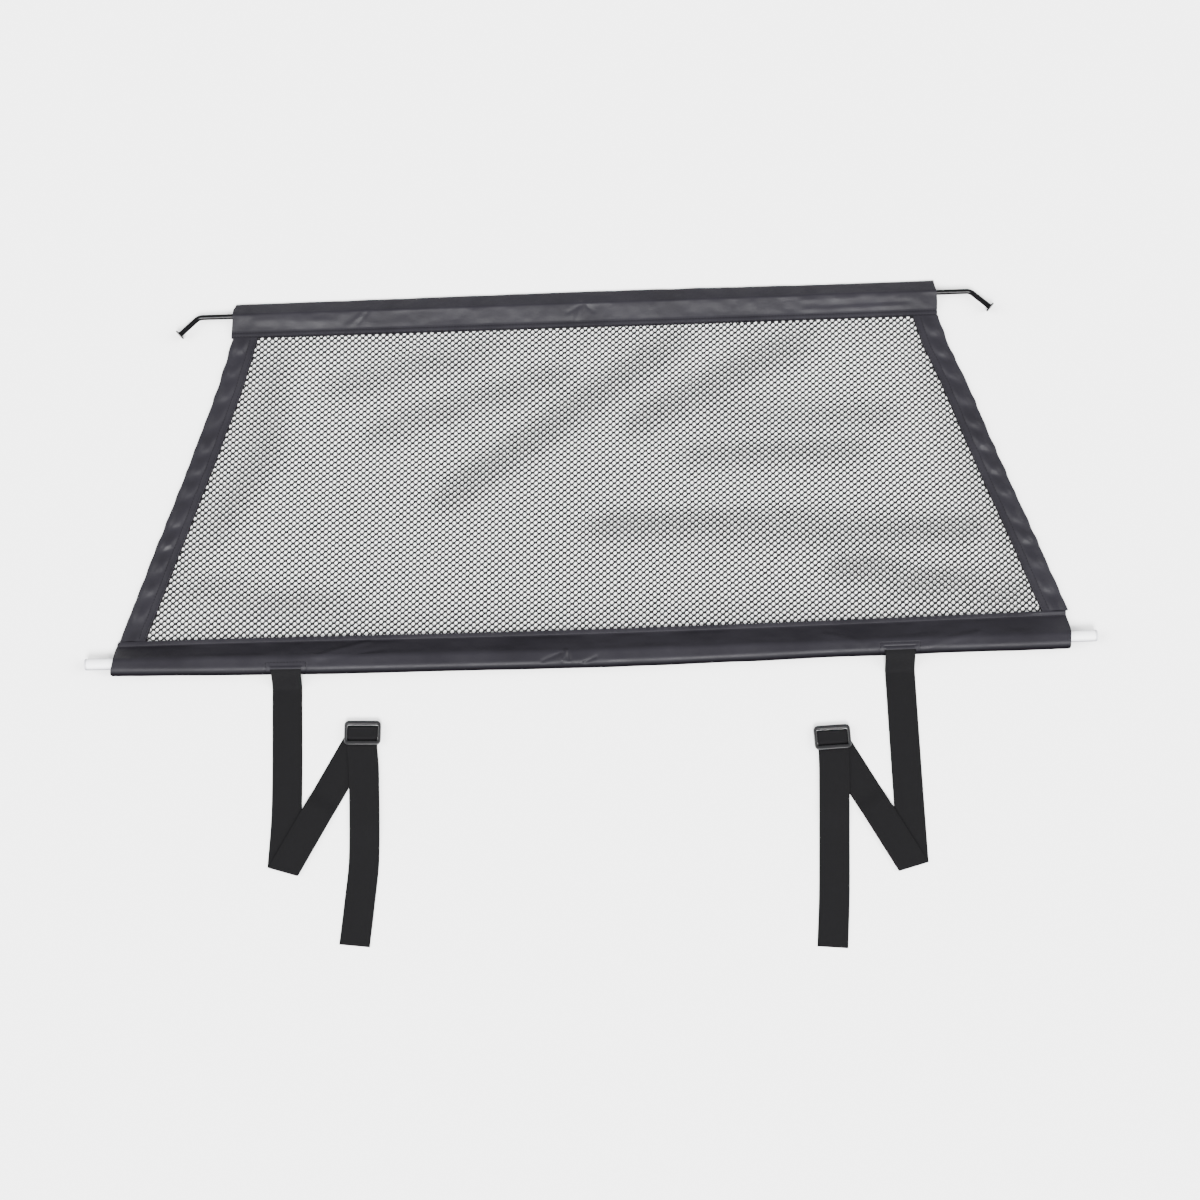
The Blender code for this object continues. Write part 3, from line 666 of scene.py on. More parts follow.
def leather_strip(name, node, grid, rises, open_at=None):
    """A strip's leather in a CAD node's place, with its middle surface raised along its normals."""
    grid = np.array(grid)
    grid += upward(grid_normals(grid)) * np.array(rises)[..., None]
    made = sheet_piece(name, grid, LEATHER, LOOKS["leather"], open_at=open_at)
    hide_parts(node)
    return made, grid


# What a sleeve is made from. Its rollers are the bends of its fold, from below: each one's centre, as
# (distance from the fold, height), and radius. Its flange is the level part of its upper layer. Its lines are
# its rows of stitches and its welt the raised leather beside them, as distances from its upper edge.
Sleeve = namedtuple(
    "Sleeve", "node bar_node seam fold ends stops bar rollers flange lines welt creases corner open_at"
)


def leather_sleeve(sleeve):
    """A sleeve's leather, with its seam, the pull of its stitches and its soft creases."""
    bar_y, bar_height = sleeve.bar
    seam, fold, ends, stops = sleeve.seam, sleeve.fold, sleeve.ends, sleeve.stops
    x_mid = (ends[0][0] + ends[1][0]) / 2
    toward = 1 if fold(x_mid) > seam(x_mid) else -1
    top = hit(sleeve.node, (x_mid, bar_y(x_mid), FAR), (0, 0, -1)).z
    pocket = top - LEATHER / 2 - bar_height
    grid, lift = [], []
    for x in spaced(stops):
        t = (x - stops[0][0]) / (stops[-1][0] - stops[0][0])
        width = abs(seam(x) - fold(x))
        rollers = [*sleeve.rollers, ((abs(bar_y(x) - fold(x)), bar_height), pocket)]
        section = sleeve_section(width, rollers, sleeve.flange)
        row, rises = [], []
        for (off, z), distance in zip(section, distances_from_end(section)):
            share = off / width
            left = mix(ends[0][1], ends[0][0], share) + sleeve.corner(-1, share)
            right = mix(ends[1][1], ends[1][0], share) - sleeve.corner(1, share)
            row.append((mix(left, right, t), fold(x) - toward * off, z))
            relief = seam_relief(distance, sleeve.lines, sleeve.welt)
            rises.append(on_upper_layer(z) * (sleeve.creases(x, distance, off, z) + relief))
        grid.append(row)
        lift.append(rises)
    name = sleeve.node + "_leather"
    width = distances_from_end(section)[0]
    return leather_strip(name, sleeve.node, grid, lift, sleeve.open_at)


def creased(x, distance, creases):
    """The height that narrow straight creases add at one place on a strip."""
    height = 0.0
    for x1, d1, x2, d2, width, rise in creases:
        run = (x2 - x1, d2 - d1)
        t = ((x - x1) * run[0] + (distance - d1) * run[1]) / (run[0] ** 2 + run[1] ** 2)
        t = min(max(t, 0.0), 1.0)
        height += rise * bump(hypot(x - x1 - t * run[0], distance - d1 - t * run[1]), 0.0, width)
    return height


# Creases of the header: both ends' X and distance from the seam edge, width and height
HEADER_CREASES = (
    (-0.020, 0.020, 0.000, 0.030, 0.0022, -0.0007),
    (0.016, 0.020, 0.004, 0.031, 0.0022, -0.0006),
    (-0.006, 0.012, 0.000, 0.030, 0.0045, 0.0008),
    (-0.302, 0.015, -0.288, 0.031, 0.0020, -0.0006),
    (-0.312, 0.014, -0.300, 0.024, 0.0045, 0.0007),
    (-0.440, 0.023, -0.330, 0.019, 0.0050, 0.0007),
    (0.300, 0.026, 0.420, 0.029, 0.0030, 0.0005),
    (0.320, 0.018, 0.440, 0.020, 0.0030, -0.0004),
    (0.300, 0.013, 0.430, 0.015, 0.0035, 0.0006),
)


def header_edge(x):
    """The Y of the header's lower edge, a little below the CAD solid's."""
    return header_seam(x) - 0.7 * MM


def header_top(x):
    """The Y of the header's fold, a little above the CAD solid's except at its right end."""
    return header_fold(x) + 1.3 * MM * (1 - rising(x, 0.16, 0.40))


def header_creases(x, distance, off, z):
    """Soft waves between the seam and the rod, and a little slack behind the rod."""
    below = rising(distance, 8 * MM, 16 * MM) * (1 - rising(distance, 26 * MM, 33 * MM))
    behind = rising(distance, 38 * MM, 43 * MM)
    waves = wave(x, distance, 0.032, 1) + 0.45 * wave(x, distance, 0.012, 2)
    slack = 0.5 * MM * behind * wave(x, distance, 0.028, 3)
    return 0.9 * MM * below * waves + slack + creased(x, distance, HEADER_CREASES)


def header_corner(side, share):
    """The header's left end is cut back at its upper corner, and both ends waver a little."""
    waver = 0.7 * MM * sin(2 * pi * share + side)
    return waver + (3.6 * MM * (1 - ease(share / 0.24)) if side < 0 else 0.0)


# Creases of the bottom sleeve, where the tube's joint draws it in and beside the slits
BOTTOM_CREASES = (
    (-0.062, 0.047, -0.040, 0.037, 0.0026, -0.0012),
    (-0.038, 0.046, -0.034, 0.036, 0.0030, 0.0014),
    (-0.028, 0.046, -0.031, 0.036, 0.0018, -0.0010),
    (-0.008, 0.050, 0.006, 0.044, 0.0022, -0.0013),
    (-0.355, 0.034, -0.290, 0.010, 0.0040, 0.0008),
    (-0.350, 0.042, -0.270, 0.024, 0.0040, -0.0006),
    (0.350, 0.040, 0.300, 0.022, 0.0040, 0.0006),
    (0.440, 0.044, 0.500, 0.030, 0.0045, 0.0007),
)
SLIT_CLEAR = 0.4 * MM
LIP = 4.0 * MM  # from the fold to the upper lip of a slit
LIP_SIDE = 1.6 * MM  # of the lip's bead, beyond the strap's edge
BOX_TOP = 11.6 * MM  # from the fold to the stitches round a slit
BOX_SIDE = 6.4 * MM  # from the strap's edge to them


def beside(x, reach):
    """How far a place lies outside a strap's width and that reach, where the strap is the nearest."""
    return min(abs(x - strap.side * strap.slit) for strap in STRAPS) - STRAP_WIDTH / 2 - reach


def slit_box(x, off):
    """The bead along a slit's lip, the groove behind it and the groove of the stitches round it."""
    lip = bump(off, LIP + 1.1 * MM, 0.9 * MM) * ease(0.5 - beside(x, LIP_SIDE) / MM)
    behind = bump(off, LIP + 3.2 * MM, 0.9 * MM) * ease(0.5 - beside(x, LIP_SIDE) / MM)
    across = beside(x, BOX_SIDE)
    top = bump(off, BOX_TOP, GROOVE) * ease(0.5 - across / MM)
    side = bump(across, 0.0, GROOVE) * ease(0.5 + (BOX_TOP - off) / MM)
    return 0.7 * MM * lip - 0.7 * MM * behind - 0.5 * MM * max(top, side)


def bottom_creases(x, distance, off, z):
    """Soft waves between the seam and the tube, the tucks at the tube's joint and the slits' boxes."""
    below = rising(distance, 7 * MM, 13 * MM) * (1 - rising(distance, 24 * MM, 32 * MM))
    over = rising(distance, 26 * MM, 34 * MM)
    waves = wave(x, distance, 0.040, 4) + 0.5 * wave(x, distance, 0.016, 5)
    height = 0.7 * MM * below * waves + 0.6 * MM * over * wave(x, 0.4 * distance, 0.050, 6)
    height += creased(x, distance, BOTTOM_CREASES)
    if z > ROLL_RADIUS:
        height += slit_box(x, off)
    hem = 0.9 * MM * rising(x, 0.560, 0.580) * bump(distance, 1.5 * MM, 1.8 * MM)
    return height + hem


def bottom_corner(side, share):
    return 0.8 * MM * sin(2.4 * pi * share + side)


def in_slit(middle):
    """Whether a place on the bottom sleeve lies in a strap's way out."""
    x, y, z = middle
    out = (cos(STRAP_LEAVES), sin(STRAP_LEAVES))
    for strap in STRAPS:
        slit = strap.side * strap.slit
        if abs(x - slit) < STRAP_WIDTH / 2 + SLIT_CLEAR:
            ry, rz = y - tube_y(slit), z - tube_height
            off = ry * out[0] + rz * out[1] - STRAP_ROUND
            if abs(off) < WEBBING / 2 + SLIT_CLEAR and rz * out[0] > ry * out[1]:
                return True
    return False


WIDE_STEP = 3.2 * MM  # between the bottom sleeve's cross lines where nothing happens


def bottom_stops():
    """Where the bottom sleeve's cross lines are denser: round the slits and the tube's joint."""
    stops = [(bottom_low.x, WIDE_STEP)]
    slit = STRAP_WIDTH / 2 + SLIT_CLEAR
    box = STRAP_WIDTH / 2 + BOX_SIDE + 2 * MM
    for strap in STRAPS:
        middle = strap.side * strap.slit
        stops += [(middle - box, 1.0 * MM), (middle - slit, 2.0 * MM), (middle + slit, 1.0 * MM)]
        stops.append((middle + box, WIDE_STEP))
        if strap.side < 0:
            stops += [(-0.070, 1.5 * MM), (0.014, WIDE_STEP)]
    return [*stops, (bottom_high.x, WIDE_STEP)]


HEADER = Sleeve(
    node="header_sleeve",
    bar_node="top_rod",
    seam=header_edge,
    fold=header_top,
    ends=header_ends,
    stops=[(header_low.x, STATION), (header_high.x, STATION)],
    bar=(rod_y, rod_height),
    rollers=(((LOW + NOSE_RADIUS, LOW + NOSE_RADIUS), NOSE_RADIUS),),
    flange=8.5 * MM,
    lines=(1.6 * MM, 6.6 * MM),
    welt=(4.0 * MM,),
    creases=header_creases,
    corner=header_corner,
    open_at=None,
)
BOTTOM = Sleeve(
    node="bottom_sleeve",
    bar_node="bottom_tube",
    seam=bottom_seam,
    fold=bottom_fold,
    ends=bottom_ends,
    stops=bottom_stops(),
    bar=(tube_y, tube_height),
    rollers=(((1.9 * MM, LOW + 3.0 * MM), 3.0 * MM), ((7.7 * MM, LOW + ROLL_RADIUS), ROLL_RADIUS)),
    flange=7.0 * MM,
    lines=(6.2 * MM,),
    welt=(2.9 * MM,),
    creases=bottom_creases,
    corner=bottom_corner,
    open_at=in_slit,
)

RIDGE_PITCH = 33 * MM
RIDGE = 3.5 * MM  # the height of a ridge, about
RIDGE_FRONT = 0.36  # the share of a ridge's way on which it rises
EDGE_WAVE = 0.8 * MM  # how far a binding's outer edge wavers


def ridges(y, distance, side):
    """Soft ridges across a binding, where its leather is a little too long for the net: each rises over a
    short way from the front and falls over a longer one."""
    turn = (y + 0.25 * distance) / RIDGE_PITCH + 0.4 * wave(y, 0.0, 0.07, 15 + side)
    share = turn % 1.0
    height = RIDGE * (0.85 + 0.5 * wave(turn // 1.0, 0.5, 0.37, 17 + side))
    rise = rising(share, 0, RIDGE_FRONT) if share < RIDGE_FRONT else 1 - rising(share, RIDGE_FRONT, 1)
    return height * rise * (1 - 0.7 * rising(distance, 21 * MM, 30 * MM))


def binding_leather(side, name):
    """A strip folded over the net's side edge, rippled by the pull of its two stitch lines."""
    node = "binding_left" if side < 0 else "binding_right"
    outer, inner = side_edges[side]
    low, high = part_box(node)
    middle = (low.y + high.y) / 2
    width = abs(inner(middle) - outer(middle))
    nose = LOW + BINDING_NOSE
    section = fine([(width, LOW), (nose, LOW)], 4 * MM)
    section += arc((nose, nose), BINDING_NOSE, -pi / 2, -3 * pi / 2, 12)[1:]
    section += fine([(nose, SEAM_HEIGHT), (width, SEAM_HEIGHT)], COLUMN)[1:]
    far = distances_from_end(section)
    stations = ceil((header_seam(outer(middle)) - bottom_seam(outer(middle))) / STATION)
    grid, lift = [], []
    for i in range(stations + 1):
        v = i / stations
        row, rises = [], []
        y = mix(bottom_seam(0), header_seam(0), v)
        edge = outer(y) - side * EDGE_WAVE * wave(y, 0.0, 0.022, 11 + side)
        for (off, z), distance in zip(section, far):
            x = edge - side * off
            row.append((x, mix(bottom_seam(x) + GAP, header_edge(x) - GAP, v), z))
            ripple = ridges(y, distance, side) + 0.5 * MM * wave(y, distance, 0.010, 13 + side)
            shape = rising(distance, 8 * MM, 17 * MM) * ripple
            shape += seam_relief(distance, BINDING_LINES, BINDING_WELT)
            rises.append(on_upper_layer(z) * shape)
        grid.append(row)
        lift.append(rises)
    return leather_strip(name, node, grid, lift)[1], far


# ---- stitches ----

STITCH = 3.3 * MM
STITCH_PITCH = 4.1 * MM
THREAD = 0.33 * MM
STITCH_SIDES = 6

# A stitch's rings: the share of its length where each lies and the share of the thread's radius there
STITCH_RINGS = ((0.0, 0.15), (0.16, 0.8), (0.5, 1.0), (0.84, 0.8), (1.0, 0.15))


def stitches(name, path):
    """Short raised stitches along a path of (point, surface normal)."""
    far = travelled([point for point, _ in path], vectors_apart)
    rows = [(f, *p, *n) for f, (p, n) in zip(far, path)]

    def at(distance):
        x, y, z, nx, ny, nz = smooth(rows, min(max(distance, 0.0), far[-1]))
        return Vector((x, y, z)), Vector((nx, ny, nz)).normalized()

    points, faces = [], []
    count = int(far[-1] / STITCH_PITCH)
    for i in range(count):
        start = (i + 0.5) * far[-1] / count - STITCH / 2
        faces += ring_faces(len(points), len(STITCH_RINGS), STITCH_SIDES)
        for share, plump in STITCH_RINGS:
            centre, up = at(start + share * STITCH)
            ahead = (at(start + share * STITCH + 0.2 * MM)[0] - centre).normalized()
            side = ahead.cross(up).normalized()
            arch = 0.10 * MM * sin(pi * share) - 0.08 * MM
            for k in range(STITCH_SIDES):
                turn = k * 2 * pi / STITCH_SIDES
                swing = side * cos(turn) + up * (0.8 * sin(turn))
                points.append(centre + up * arch + swing * (THREAD * plump))
    add_mesh(name, points, faces, LOOKS["thread"])


def line_on(grid, far, line):
    """The path along a strip at a distance from its upper edge, on the leather's face."""
    a, b = sorted(sorted(range(len(far)), key=lambda k: abs(far[k] - line))[:2])
    t = (line - far[a]) / (far[b] - far[a])
    normals = upward(grid_normals(grid))
    path = []
    for i in range(1, len(grid) - 1):
        p = Vector(mix(grid[i, a], grid[i, b], t))
        n = Vector(mix(normals[i, a], normals[i, b], t)).normalized()
        path.append((p + n * (LEATHER / 2), n))
    return path


def sew(name, grid, far, lines):
    for k, line in enumerate(lines, 1):
        stitches(f"{name}_stitches_{k}", line_on(grid, far, line))


def sew_slit(strap, leather):
    """The stitches round a strap's slit: up one side, across and down the other."""
    bpy.context.view_layer.update()
    tree = BVHTree.FromObject(leather, bpy.context.evaluated_depsgraph_get())
    middle = strap.side * strap.slit
    half = STRAP_WIDTH / 2 + BOX_SIDE
    left, right = middle - half, middle + half
    path = []
    for x, off in fine(((left, LIP), (left, BOX_TOP), (right, BOX_TOP), (right, LIP)), 1.5 * MM):
        point, normal = tree.ray_cast(Vector((x, bottom_fold(x) + off, FAR)), Vector((0, 0, -1)))[:2]
        path.append((point, normal if normal.z > 0 else -normal))
    stitches(f"slit_stitches_{strap.name}", path)


# ---- net ----

# The lattice: knots and holes take turns, like the squares of a chessboard
HALF_PITCH = (4.68 * MM, 3.84 * MM)
COLUMNS = 140  # on either side of the middle, more than the net takes
SPARE_ROWS = 5  # beyond either seam
HOLE = (2.12 * MM, 2.22 * MM)  # half the width and half the height
HOLE_FLAT = (0.80 * MM, 0.78 * MM)  # half of the flat at its top and bottom, and at its sides
HOLE_LEAN = 0.28 * MM  # how much longer the flats are at one corner, and shorter at the next
KNOT_LIFT = 0.50 * MM
KNOT_UNDER = 0.40 * MM
STRAND_LIFT = 0.34 * MM
NET_TUCK = 4.0 * MM  # how far the net reaches under the strips round it
LEAN = 0.023  # of the net's columns, to +X for +Y
ROW_SLOPE = 0.006  # of its rows, to +Y for +X
FIELD_SQUARE = 4 * MM  # of the grid that holds the net's smoothed heights
FIELD_BLUR = 4  # in squares

# How the net's rows stray from straight: an X and how far they lie towards +Y there
ROW_DRIFT = (
    (-0.650, 10.0 * MM),
    (-0.500, 6.0 * MM),
    (-0.400, 2.6 * MM),
    (-0.300, 0.7 * MM),
    (-0.150, 0.0 * MM),
    (0.050, 1.2 * MM),
    (0.250, 2.6 * MM),
    (0.650, 4.0 * MM),
)


def lattice_place(i, j):
    """Where a lattice point lies, with a soft unevenness."""
    y = j * HALF_PITCH[1] + bottom_seam(0)
    x = i * HALF_PITCH[0] + LEAN * (y - NET_LENGTH / 2)
    y += smooth(ROW_DRIFT, x) + ROW_SLOPE * x
    return (
        x + 1.3 * MM * wave(x, y, 0.085, 21) + 0.25 * MM * wave(x, y, 0.021, 22),
        y + 1.5 * MM * wave(x, y, 0.085, 23) + 0.25 * MM * wave(x, y, 0.021, 24),
    )


def holes_of(side):
    """The lattice points of the holes in one half of the net."""
    holes = []
    for i in range(1, COLUMNS) if side > 0 else range(-COLUMNS, 1):
        for j in range(-SPARE_ROWS, ceil(NET_LENGTH / HALF_PITCH[1]) + SPARE_ROWS + 1):
            if (i + j) % 2:
                continue
            x, y = lattice_place(i, j)
            low, high = bottom_seam(x) - NET_TUCK, header_seam(x) + NET_TUCK
            if low < y < high and abs(x) < abs(side_edges[-1 if x < 0 else 1][1](y)) + NET_TUCK:
                holes.append((i, j))
    return holes


def hole_outline():
    """A hole's eight corners, from the one right of its upper knot: the corners along one diagonal are cut
    less, so the holes lean that way."""
    (a, b), (flat_x, flat_y) = HOLE, HOLE_FLAT
    half = (
        (flat_x + HOLE_LEAN, b),
        (a, flat_y + HOLE_LEAN),
        (a, HOLE_LEAN - flat_y),
        (flat_x - HOLE_LEAN, -b),
    )
    return half + tuple((-x, -y) for x, y in half)


def strand_area(holes):
    """How much cloth the strands round that many holes hold."""
    (hx, hy), (a, b), (flat_x, flat_y) = HALF_PITCH, HOLE, HOLE_FLAT
    return holes * (2 * hx * hy - 4 * a * b + 2 * (a - flat_x) * (b - flat_y) + 2 * HOLE_LEAN**2)


def net_half(name, side, field):
    """Half of the net: a sheet of knots and strands round its holes, with a soft edge to every strand."""
    index, flat, lifts = {}, [], []

    def vertex(key, x, y, lift):
        if key not in index:
            index[key] = len(flat)
            flat.append((x, y))
            lifts.append(lift)
        return index[key]

    faces, edges = [], {}
    holes = holes_of(side)
    for i, j in holes:
        x, y = lattice_place(i, j)
        right, up = lattice_place(i + 1, j), lattice_place(i, j + 1)
        ax = ((right[0] - x) / HALF_PITCH[0], (right[1] - y) / HALF_PITCH[0])
        ay = ((up[0] - x) / HALF_PITCH[1], (up[1] - y) / HALF_PITCH[1])
        ring = [
            vertex(("hole", i, j, k), x + ox * ax[0] + oy * ay[0], y + ox * ax[1] + oy * ay[1], 0.0)
            for k, (ox, oy) in enumerate(hole_outline())
        ]
        knots = [(i, j + 1), (i + 1, j), (i, j - 1), (i - 1, j)]
        top, low = [], []
        for knot in knots:
            top.append(vertex(("knot", *knot), *lattice_place(*knot), KNOT_LIFT))
            low.append(vertex(("under", *knot), *lattice_place(*knot), -KNOT_UNDER))
        middles = []
        for p, q in zip(knots, knots[1:] + knots[:1]):
            u, w = lattice_place(*p), lattice_place(*q)
            key = ("strand", p[0] + q[0], p[1] + q[1])
            middles.append(vertex(key, (u[0] + w[0]) / 2, (u[1] + w[1]) / 2, STRAND_LIFT))
        # a hole's corners 7 and 0 face its upper knot, 1 and 2 the right one, and so on round it
        for k in range(4):
            n = (k + 1) % 4
            first, second, after = ring[2 * k - 1], ring[2 * k], ring[2 * k + 1]
            faces += [
                (top[k], first, second), (top[k], second, middles[k]),
                (middles[k], second, after), (middles[k], after, top[n]),
                (low[k], second, first), (low[k], after, second), (low[k], low[n], after),
            ]
            edge = frozenset((top[k], top[n]))
            if edge in edges:
                edges.pop(edge)
            else:
                edges[edge] = (top[k], middles[k], top[n], low[n], low[k])
    faces += edges.values()
    heights = heights_in(field, np.array(flat))
    points = [(x, y, z + lift) for (x, y), z, lift in zip(flat, heights, lifts)]
    made = add_mesh(name, points, faces, LOOKS["net"])
    return made, strand_area(len(holes))


def net_height(x, y):
    """The middle of the net at one place, from the CAD sheet's top."""
    point = tree_of("net_panel").ray_cast(Vector((x, y, FAR)), Vector((0, 0, -1)))[0]
    return None if point is None else point.z - CAD_NET / 2


def net_field():
    """The CAD net's heights with its facets smoothed away: a blur over a grid of small squares."""
    margin = (FIELD_BLUR + 2) * FIELD_SQUARE
    node_low, node_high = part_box("net_panel")
    low = np.array((node_low.x - margin, node_low.y - margin))
    high = np.array((node_high.x + margin, node_high.y + margin))
    cells = np.ceil((high - low) / FIELD_SQUARE).astype(int)
    total, count = np.zeros(cells), np.zeros(cells)
    for i, k in np.ndindex(*cells):
        height = net_height(low[0] + (i + 0.5) * FIELD_SQUARE, low[1] + (k + 0.5) * FIELD_SQUARE)
        if height is not None:
            total[i, k] = height
            count[i, k] = 1.0
    kernel = np.exp(-((np.arange(-FIELD_BLUR, FIELD_BLUR + 1) / (FIELD_BLUR / 2)) ** 2))
    for axis in (0, 1):
        total = np.apply_along_axis(np.convolve, axis, total, kernel, "same")
        count = np.apply_along_axis(np.convolve, axis, count, kernel, "same")
    return low, total / np.maximum(count, 1e-6)


def heights_in(field, flat):
    """The heights of the net at some places, between the middles of that grid's squares."""
    low, values = field
    spot = (flat - low) / FIELD_SQUARE - 0.5
    cell = np.floor(spot).astype(int)
    t = spot - cell
    result = np.zeros(len(flat))
    for dx in (0, 1):
        for dy in (0, 1):
            weight = np.abs(1 - dx - t[:, 0]) * np.abs(1 - dy - t[:, 1])
            result += weight * values[cell[:, 0] + dx, cell[:, 1] + dy]
    return result


# ---- straps and adjusters ----


def slit_run(strap):
    """A strap's hidden end and the way out through its slit, as (Y, height) in its own plane."""
    centre = (tube_y(strap.side * strap.slit), tube_height)
    hidden = arc(centre, STRAP_ROUND, STRAP_BEGINS, STRAP_LEAVES, 8)
    y, z = hidden[-1]
    way = (-sin(STRAP_LEAVES), cos(STRAP_LEAVES))
    clear = (y + SLIT_WAY * way[0], z + SLIT_WAY * way[1])
    reached = (clear[0] + DROP_REACH * way[0], clear[1] + DROP_REACH * way[1])
    return hidden + bezier((clear, reached, (LANDING_Y + DROP_REACH, ON_FLOOR), (LANDING_Y, ON_FLOOR)), 16)


def cross_way(direction):
    """The level way across a run, on the side of +X."""
    across = Vector((-direction.y, direction.x, 0)).normalized()
    return -across if across.x < 0 else across


def strap_lines(strap):
    """A strap's cross lines, as (middle, way across, half length), with X counted outward."""
    half = STRAP_WIDTH / 2
    up = Vector((0, 0, 1))
    lines = [(Vector((strap.slit, y, z)), Vector((1, 0, 0)), half) for y, z in slit_run(strap)]

    # the first run, on the surface, down to the folded corner
    corner = Vector((*strap.corner, 0))
    into = (corner - Vector((*strap.knee, 0))).normalized()
    axis = Vector((-sin(strap.turn), cos(strap.turn), 0))
    buckle = Vector((*strap.buckle, 0))
    bend = buckle + axis * TURN_CORNER
    out = (bend - corner).normalized()
    crease = cross_way(out - into)
    run = curve_through([(strap.slit, LANDING_Y), strap.knee, strap.corner], 6 * MM)
    for before, after in zip(run, run[1:]):
        here = Vector((*after, 0))
        square = cross_way(here - Vector((*before, 0)))
        share = ease(1 - (corner - here).length / SKEW_LENGTH)
        across = mix(square, crease, share).normalized()
        lines.append((here + up * ON_FLOOR, across, half / across.dot(square)))

    # the flat fold
    outside = Vector((crease.y, -crease.x, 0))
    second = corner - crease * strap.slip
    for step in range(1, 12):
        angle = pi * (step / 12 - 0.5)
        middle = mix(corner, second, step / 12) + outside * (FOLD_RADIUS * cos(angle))
        middle += up * (ON_FLOOR + FOLD_RADIUS * (1 + sin(angle)))
        lines.append((middle, crease, half / abs(crease.dot(cross_way(out)))))

    # the second run: over the first, down to the surface and up to the adjuster
    out = (bend - second).normalized()
    length = (bend - second).length - TURN_LENGTH
    square = cross_way(out)
    steps = ceil(length / (5 * MM))
    for i in range(steps + 1):
        far = length * i / steps
        across = mix(square, crease, ease(1 - far / SKEW_LENGTH)).normalized()
        height = mix(ON_FOLD, ON_FLOOR, rising(far, LIFTED_TO, LOWERED_BY))
        lines.append((second + out * far + up * height, across, half / across.dot(square)))

    # the turn beneath the adjuster
    for step in range(1, 7):
        t = step / 6
        a = mix(bend - out * TURN_LENGTH, bend, t)
        b = mix(bend, bend + axis * TURN_LENGTH, t)
        lines.append((mix(a, b, t) + up * ON_FLOOR, cross_way(mix(out, axis, t)), half))

    # up through the upper slot, over the bar and down through the lower one
    across = Vector((axis.y, -axis.x, 0))
    turn_radius = (OVER_BAR - ON_FLOOR) / 2
    threaded = arc((TURN_AT, ON_FLOOR + turn_radius), turn_radius, -pi / 2, pi / 2, 14)
    threaded += [(0.0, OVER_BAR), (-5.8 * MM, OVER_BAR), (-6.8 * MM, OVER_BAR - 0.4 * MM)]
    threaded += [(-9.2 * MM, ON_STRAP + 0.4 * MM), (-10.1 * MM, ON_STRAP), (-THREADED, ON_STRAP)]
    lines += [(buckle + axis * along + up * z, across, half) for along, z in threaded]

    # the tail
    tail = curve_through([tuple((buckle - axis * THREADED).xy), *strap.tail], 7 * MM)
    for before, after in zip(tail, tail[1:]):
        way = Vector((after[0] - before[0], after[1] - before[1], 0)).normalized()
        height = mix(ON_STRAP, ON_FLOOR, rising(after[1], TAIL_LIFTED_TO, TAIL_LOWERED_BY))
        lines.append((Vector((*after, height)), Vector((-way.y, way.x, 0)), half))
    return lines


# Where a strap's points lie across it, from one edge to the other
SHARES = (-1.0, -0.975, -0.93, -0.75, -0.45, -0.15, 0.15, 0.45, 0.75, 0.93, 0.975, 1.0)
THINNED = 0.55  # how much thinner its very edges are


def webbing_strap(strap):
    """One strap, with its woven ribs and its thinner edges."""
    lines = strap_lines(strap)
    far = travelled([middle for middle, _, _ in lines], vectors_apart)
    length = far[-1]
    rows = [(f, *middle, *(across * half)) for f, (middle, across, half) in zip(far, lines)]
    edges = np.array([1 - THINNED * rising(abs(k), 0.92, 1.0) for k in SHARES])
    count = round(length / RIB * 3)
    grid, thick, uv = [], [], []
    for step in range(count + 1):
        s = length * step / count
        x, y, z, dx, dy, dz = smooth(rows, s)
        grid.append([(strap.side * (x + dx * k), y + dy * k, z + dz * k) for k in SHARES])
        rib = 0.5 - 0.5 * cos(2 * pi * s / RIB)
        thick.append((WEBBING - RIB_DEPTH * rib) * edges)
        uv.append([((k + 1) * STRAP_WIDTH / 2, s) for k in SHARES])
    made = sheet_piece(f"webbing_{strap.name}", grid, np.array(thick), LOOKS["webbing"], uv)
    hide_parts(f"strap_{strap.name}")


# The adjuster: width along the strap's cross line, depth along the strap
BUCKLE_SIZE = (47.0 * MM, 31.2 * MM)
BUCKLE_CORNER = 6.0 * MM
BUCKLE_EDGE = 1.2 * MM  # how far its edges are rounded
BUCKLE_LOW = ON_STRAP + WEBBING / 2 + GAP
BUCKLE_HIGH = BUCKLE_LOW + 3.6 * MM
WINDOW_SIZE = (39.2 * MM, 20.6 * MM)
WINDOW_CORNER = 1.2 * MM
BAR_LOW = 2.0 * MM
BAR_DEPTH = 11.4 * MM
BAR_CORNER = 0.9 * MM


def rounded_outline(width, depth, corner, steps=8):
    points = []
    for k, (sx, sy) in enumerate(((1, 1), (-1, 1), (-1, -1), (1, -1))):
        centre = (sx * (width / 2 - corner), sy * (depth / 2 - corner))
        points += arc(centre, corner, k * pi / 2, (k + 1) * pi / 2, steps)
    return points


def ring_at(size, corner, grown, height):
    """A rounded outline, grown outward by a little, at a height."""
    outline = rounded_outline(size[0] + 2 * grown, size[1] + 2 * grown, corner + grown)
    return [(x, y, height) for x, y in outline]


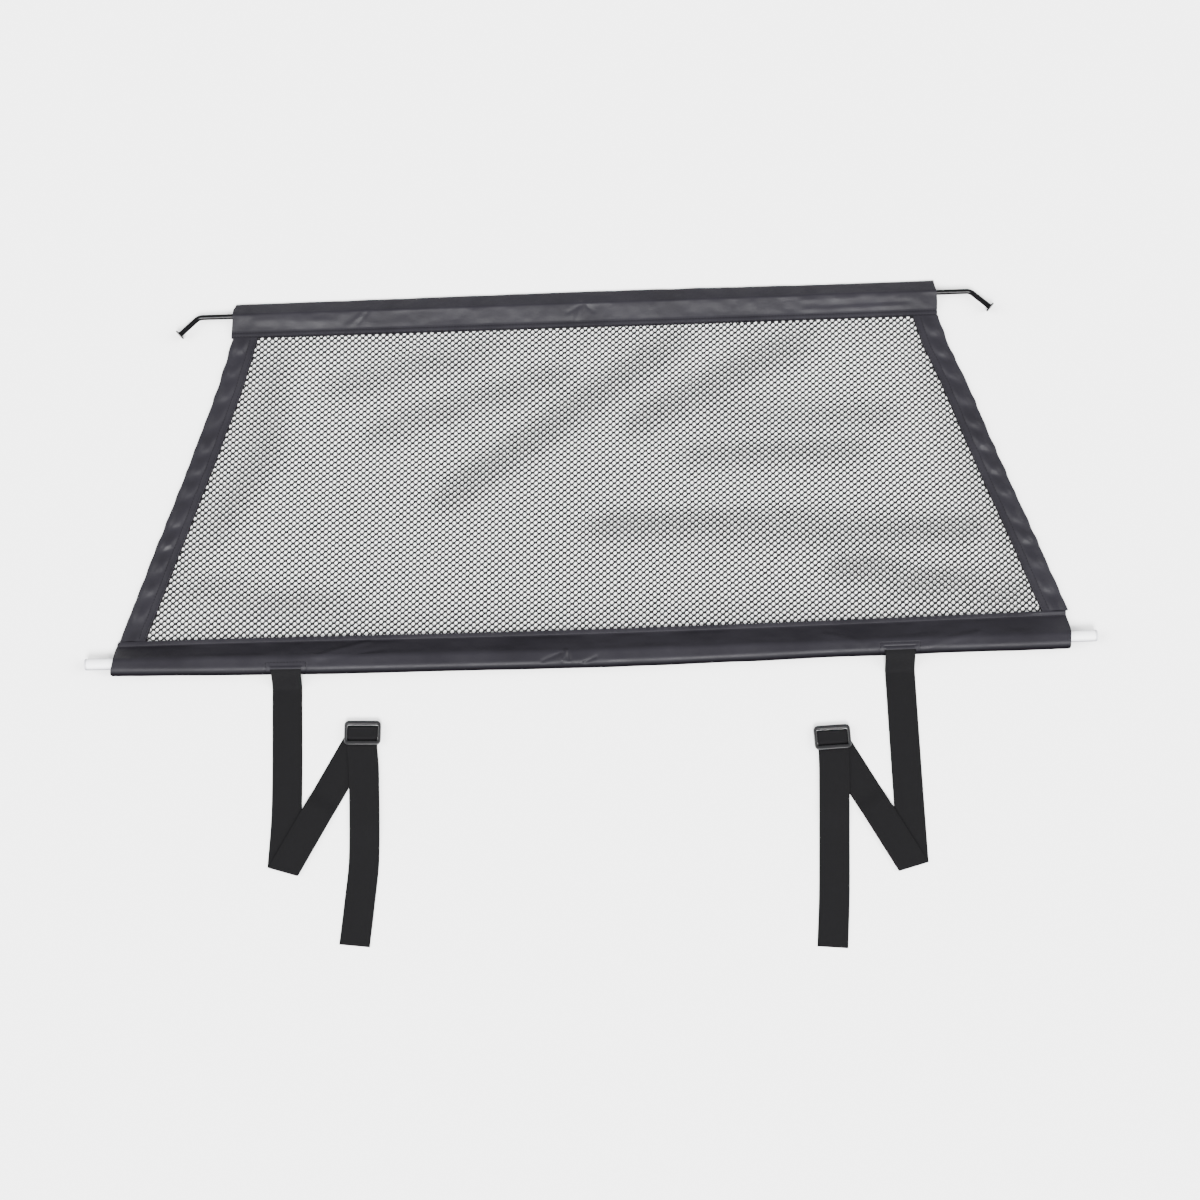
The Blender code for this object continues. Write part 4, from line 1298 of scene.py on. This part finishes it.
def buckle(strap):
    """A moulded three-bar adjuster: its frame with rounded faces, and the bar across its middle."""
    edge = BUCKLE_EDGE
    quarter = [turn * pi / 8 for turn in range(5)]
    profile = [(edge * (sin(a) - 1), BUCKLE_LOW + 0.7 * edge * (1 - cos(a))) for a in quarter]
    profile += [(edge * (cos(a) - 1), BUCKLE_HIGH - edge * (1 - sin(a))) for a in quarter]
    rings = [ring_at(BUCKLE_SIZE, BUCKLE_CORNER, grown, height) for grown, height in profile]
    profile = [(edge * (1 - sin(a)), BUCKLE_HIGH - edge * (1 - cos(a))) for a in quarter]
    rings += [ring_at(WINDOW_SIZE, WINDOW_CORNER, grown, height) for grown, height in profile]
    rings.append(ring_at(WINDOW_SIZE, WINDOW_CORNER, 0.0, BUCKLE_LOW))
    made = stacked_rings(f"adjuster_{strap.name}", rings, LOOKS["black_plastic"], closed=True)
    outline = rounded_outline(BAR_DEPTH, BAR_TOP - BAR_LOW, BAR_CORNER, 4)
    reach = (BUCKLE_SIZE[0] + WINDOW_SIZE[0]) / 4
    rings = [[(end * reach, y, z + (BAR_LOW + BAR_TOP) / 2) for y, z in outline] for end in (-1, 1)]
    bar = stacked_rings(f"adjuster_bar_{strap.name}", rings, LOOKS["black_plastic"])
    turn = Matrix.Rotation(strap.side * strap.turn, 4, "Z")
    move = Matrix.Translation((strap.side * strap.buckle[0], strap.buckle[1], 0))
    for piece in (made, bar):
        piece.data.transform(move @ turn)
    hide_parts(f"buckle_{strap.name}")


# ---- everything ----


def dress_cad():
    """Better materials for the rods, discs, tube and plugs."""
    slots = {part["node"]: part["material_slot"] for part in frame["record"]["subparts"]}
    for node, piece in frame["nodes"].items():
        look = LOOKS.get(slots[node])
        if look is not None:
            piece.data.materials.clear()
            piece.data.materials.append(look)


def main():
    add_camera()
    add_studio()
    dress_cad()

    header_grid = leather_sleeve(HEADER)[1]
    bottom, bottom_grid = leather_sleeve(BOTTOM)
    for strap in STRAPS:
        sew_slit(strap, bottom)
    field = net_field()
    for name, side in (("net_left", -1), ("net_right", 1)):
        net, strands = net_half(name, side, field)
        if side < 0:
            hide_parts("net_panel")
    for name, side in (("left_edge_leather", -1), ("right_edge_leather", 1)):
        grid, far = binding_leather(side, name)
        sew(name, grid, far, BINDING_LINES)
    for name, grid, lines in (("header", header_grid, HEADER.lines), ("bottom", bottom_grid, BOTTOM.lines)):
        section = [(p[1], p[2]) for p in grid[len(grid) // 2]]
        sew(name, grid, distances_from_end(section), lines)
    for strap in STRAPS:
        webbing_strap(strap)
        buckle(strap)


main()
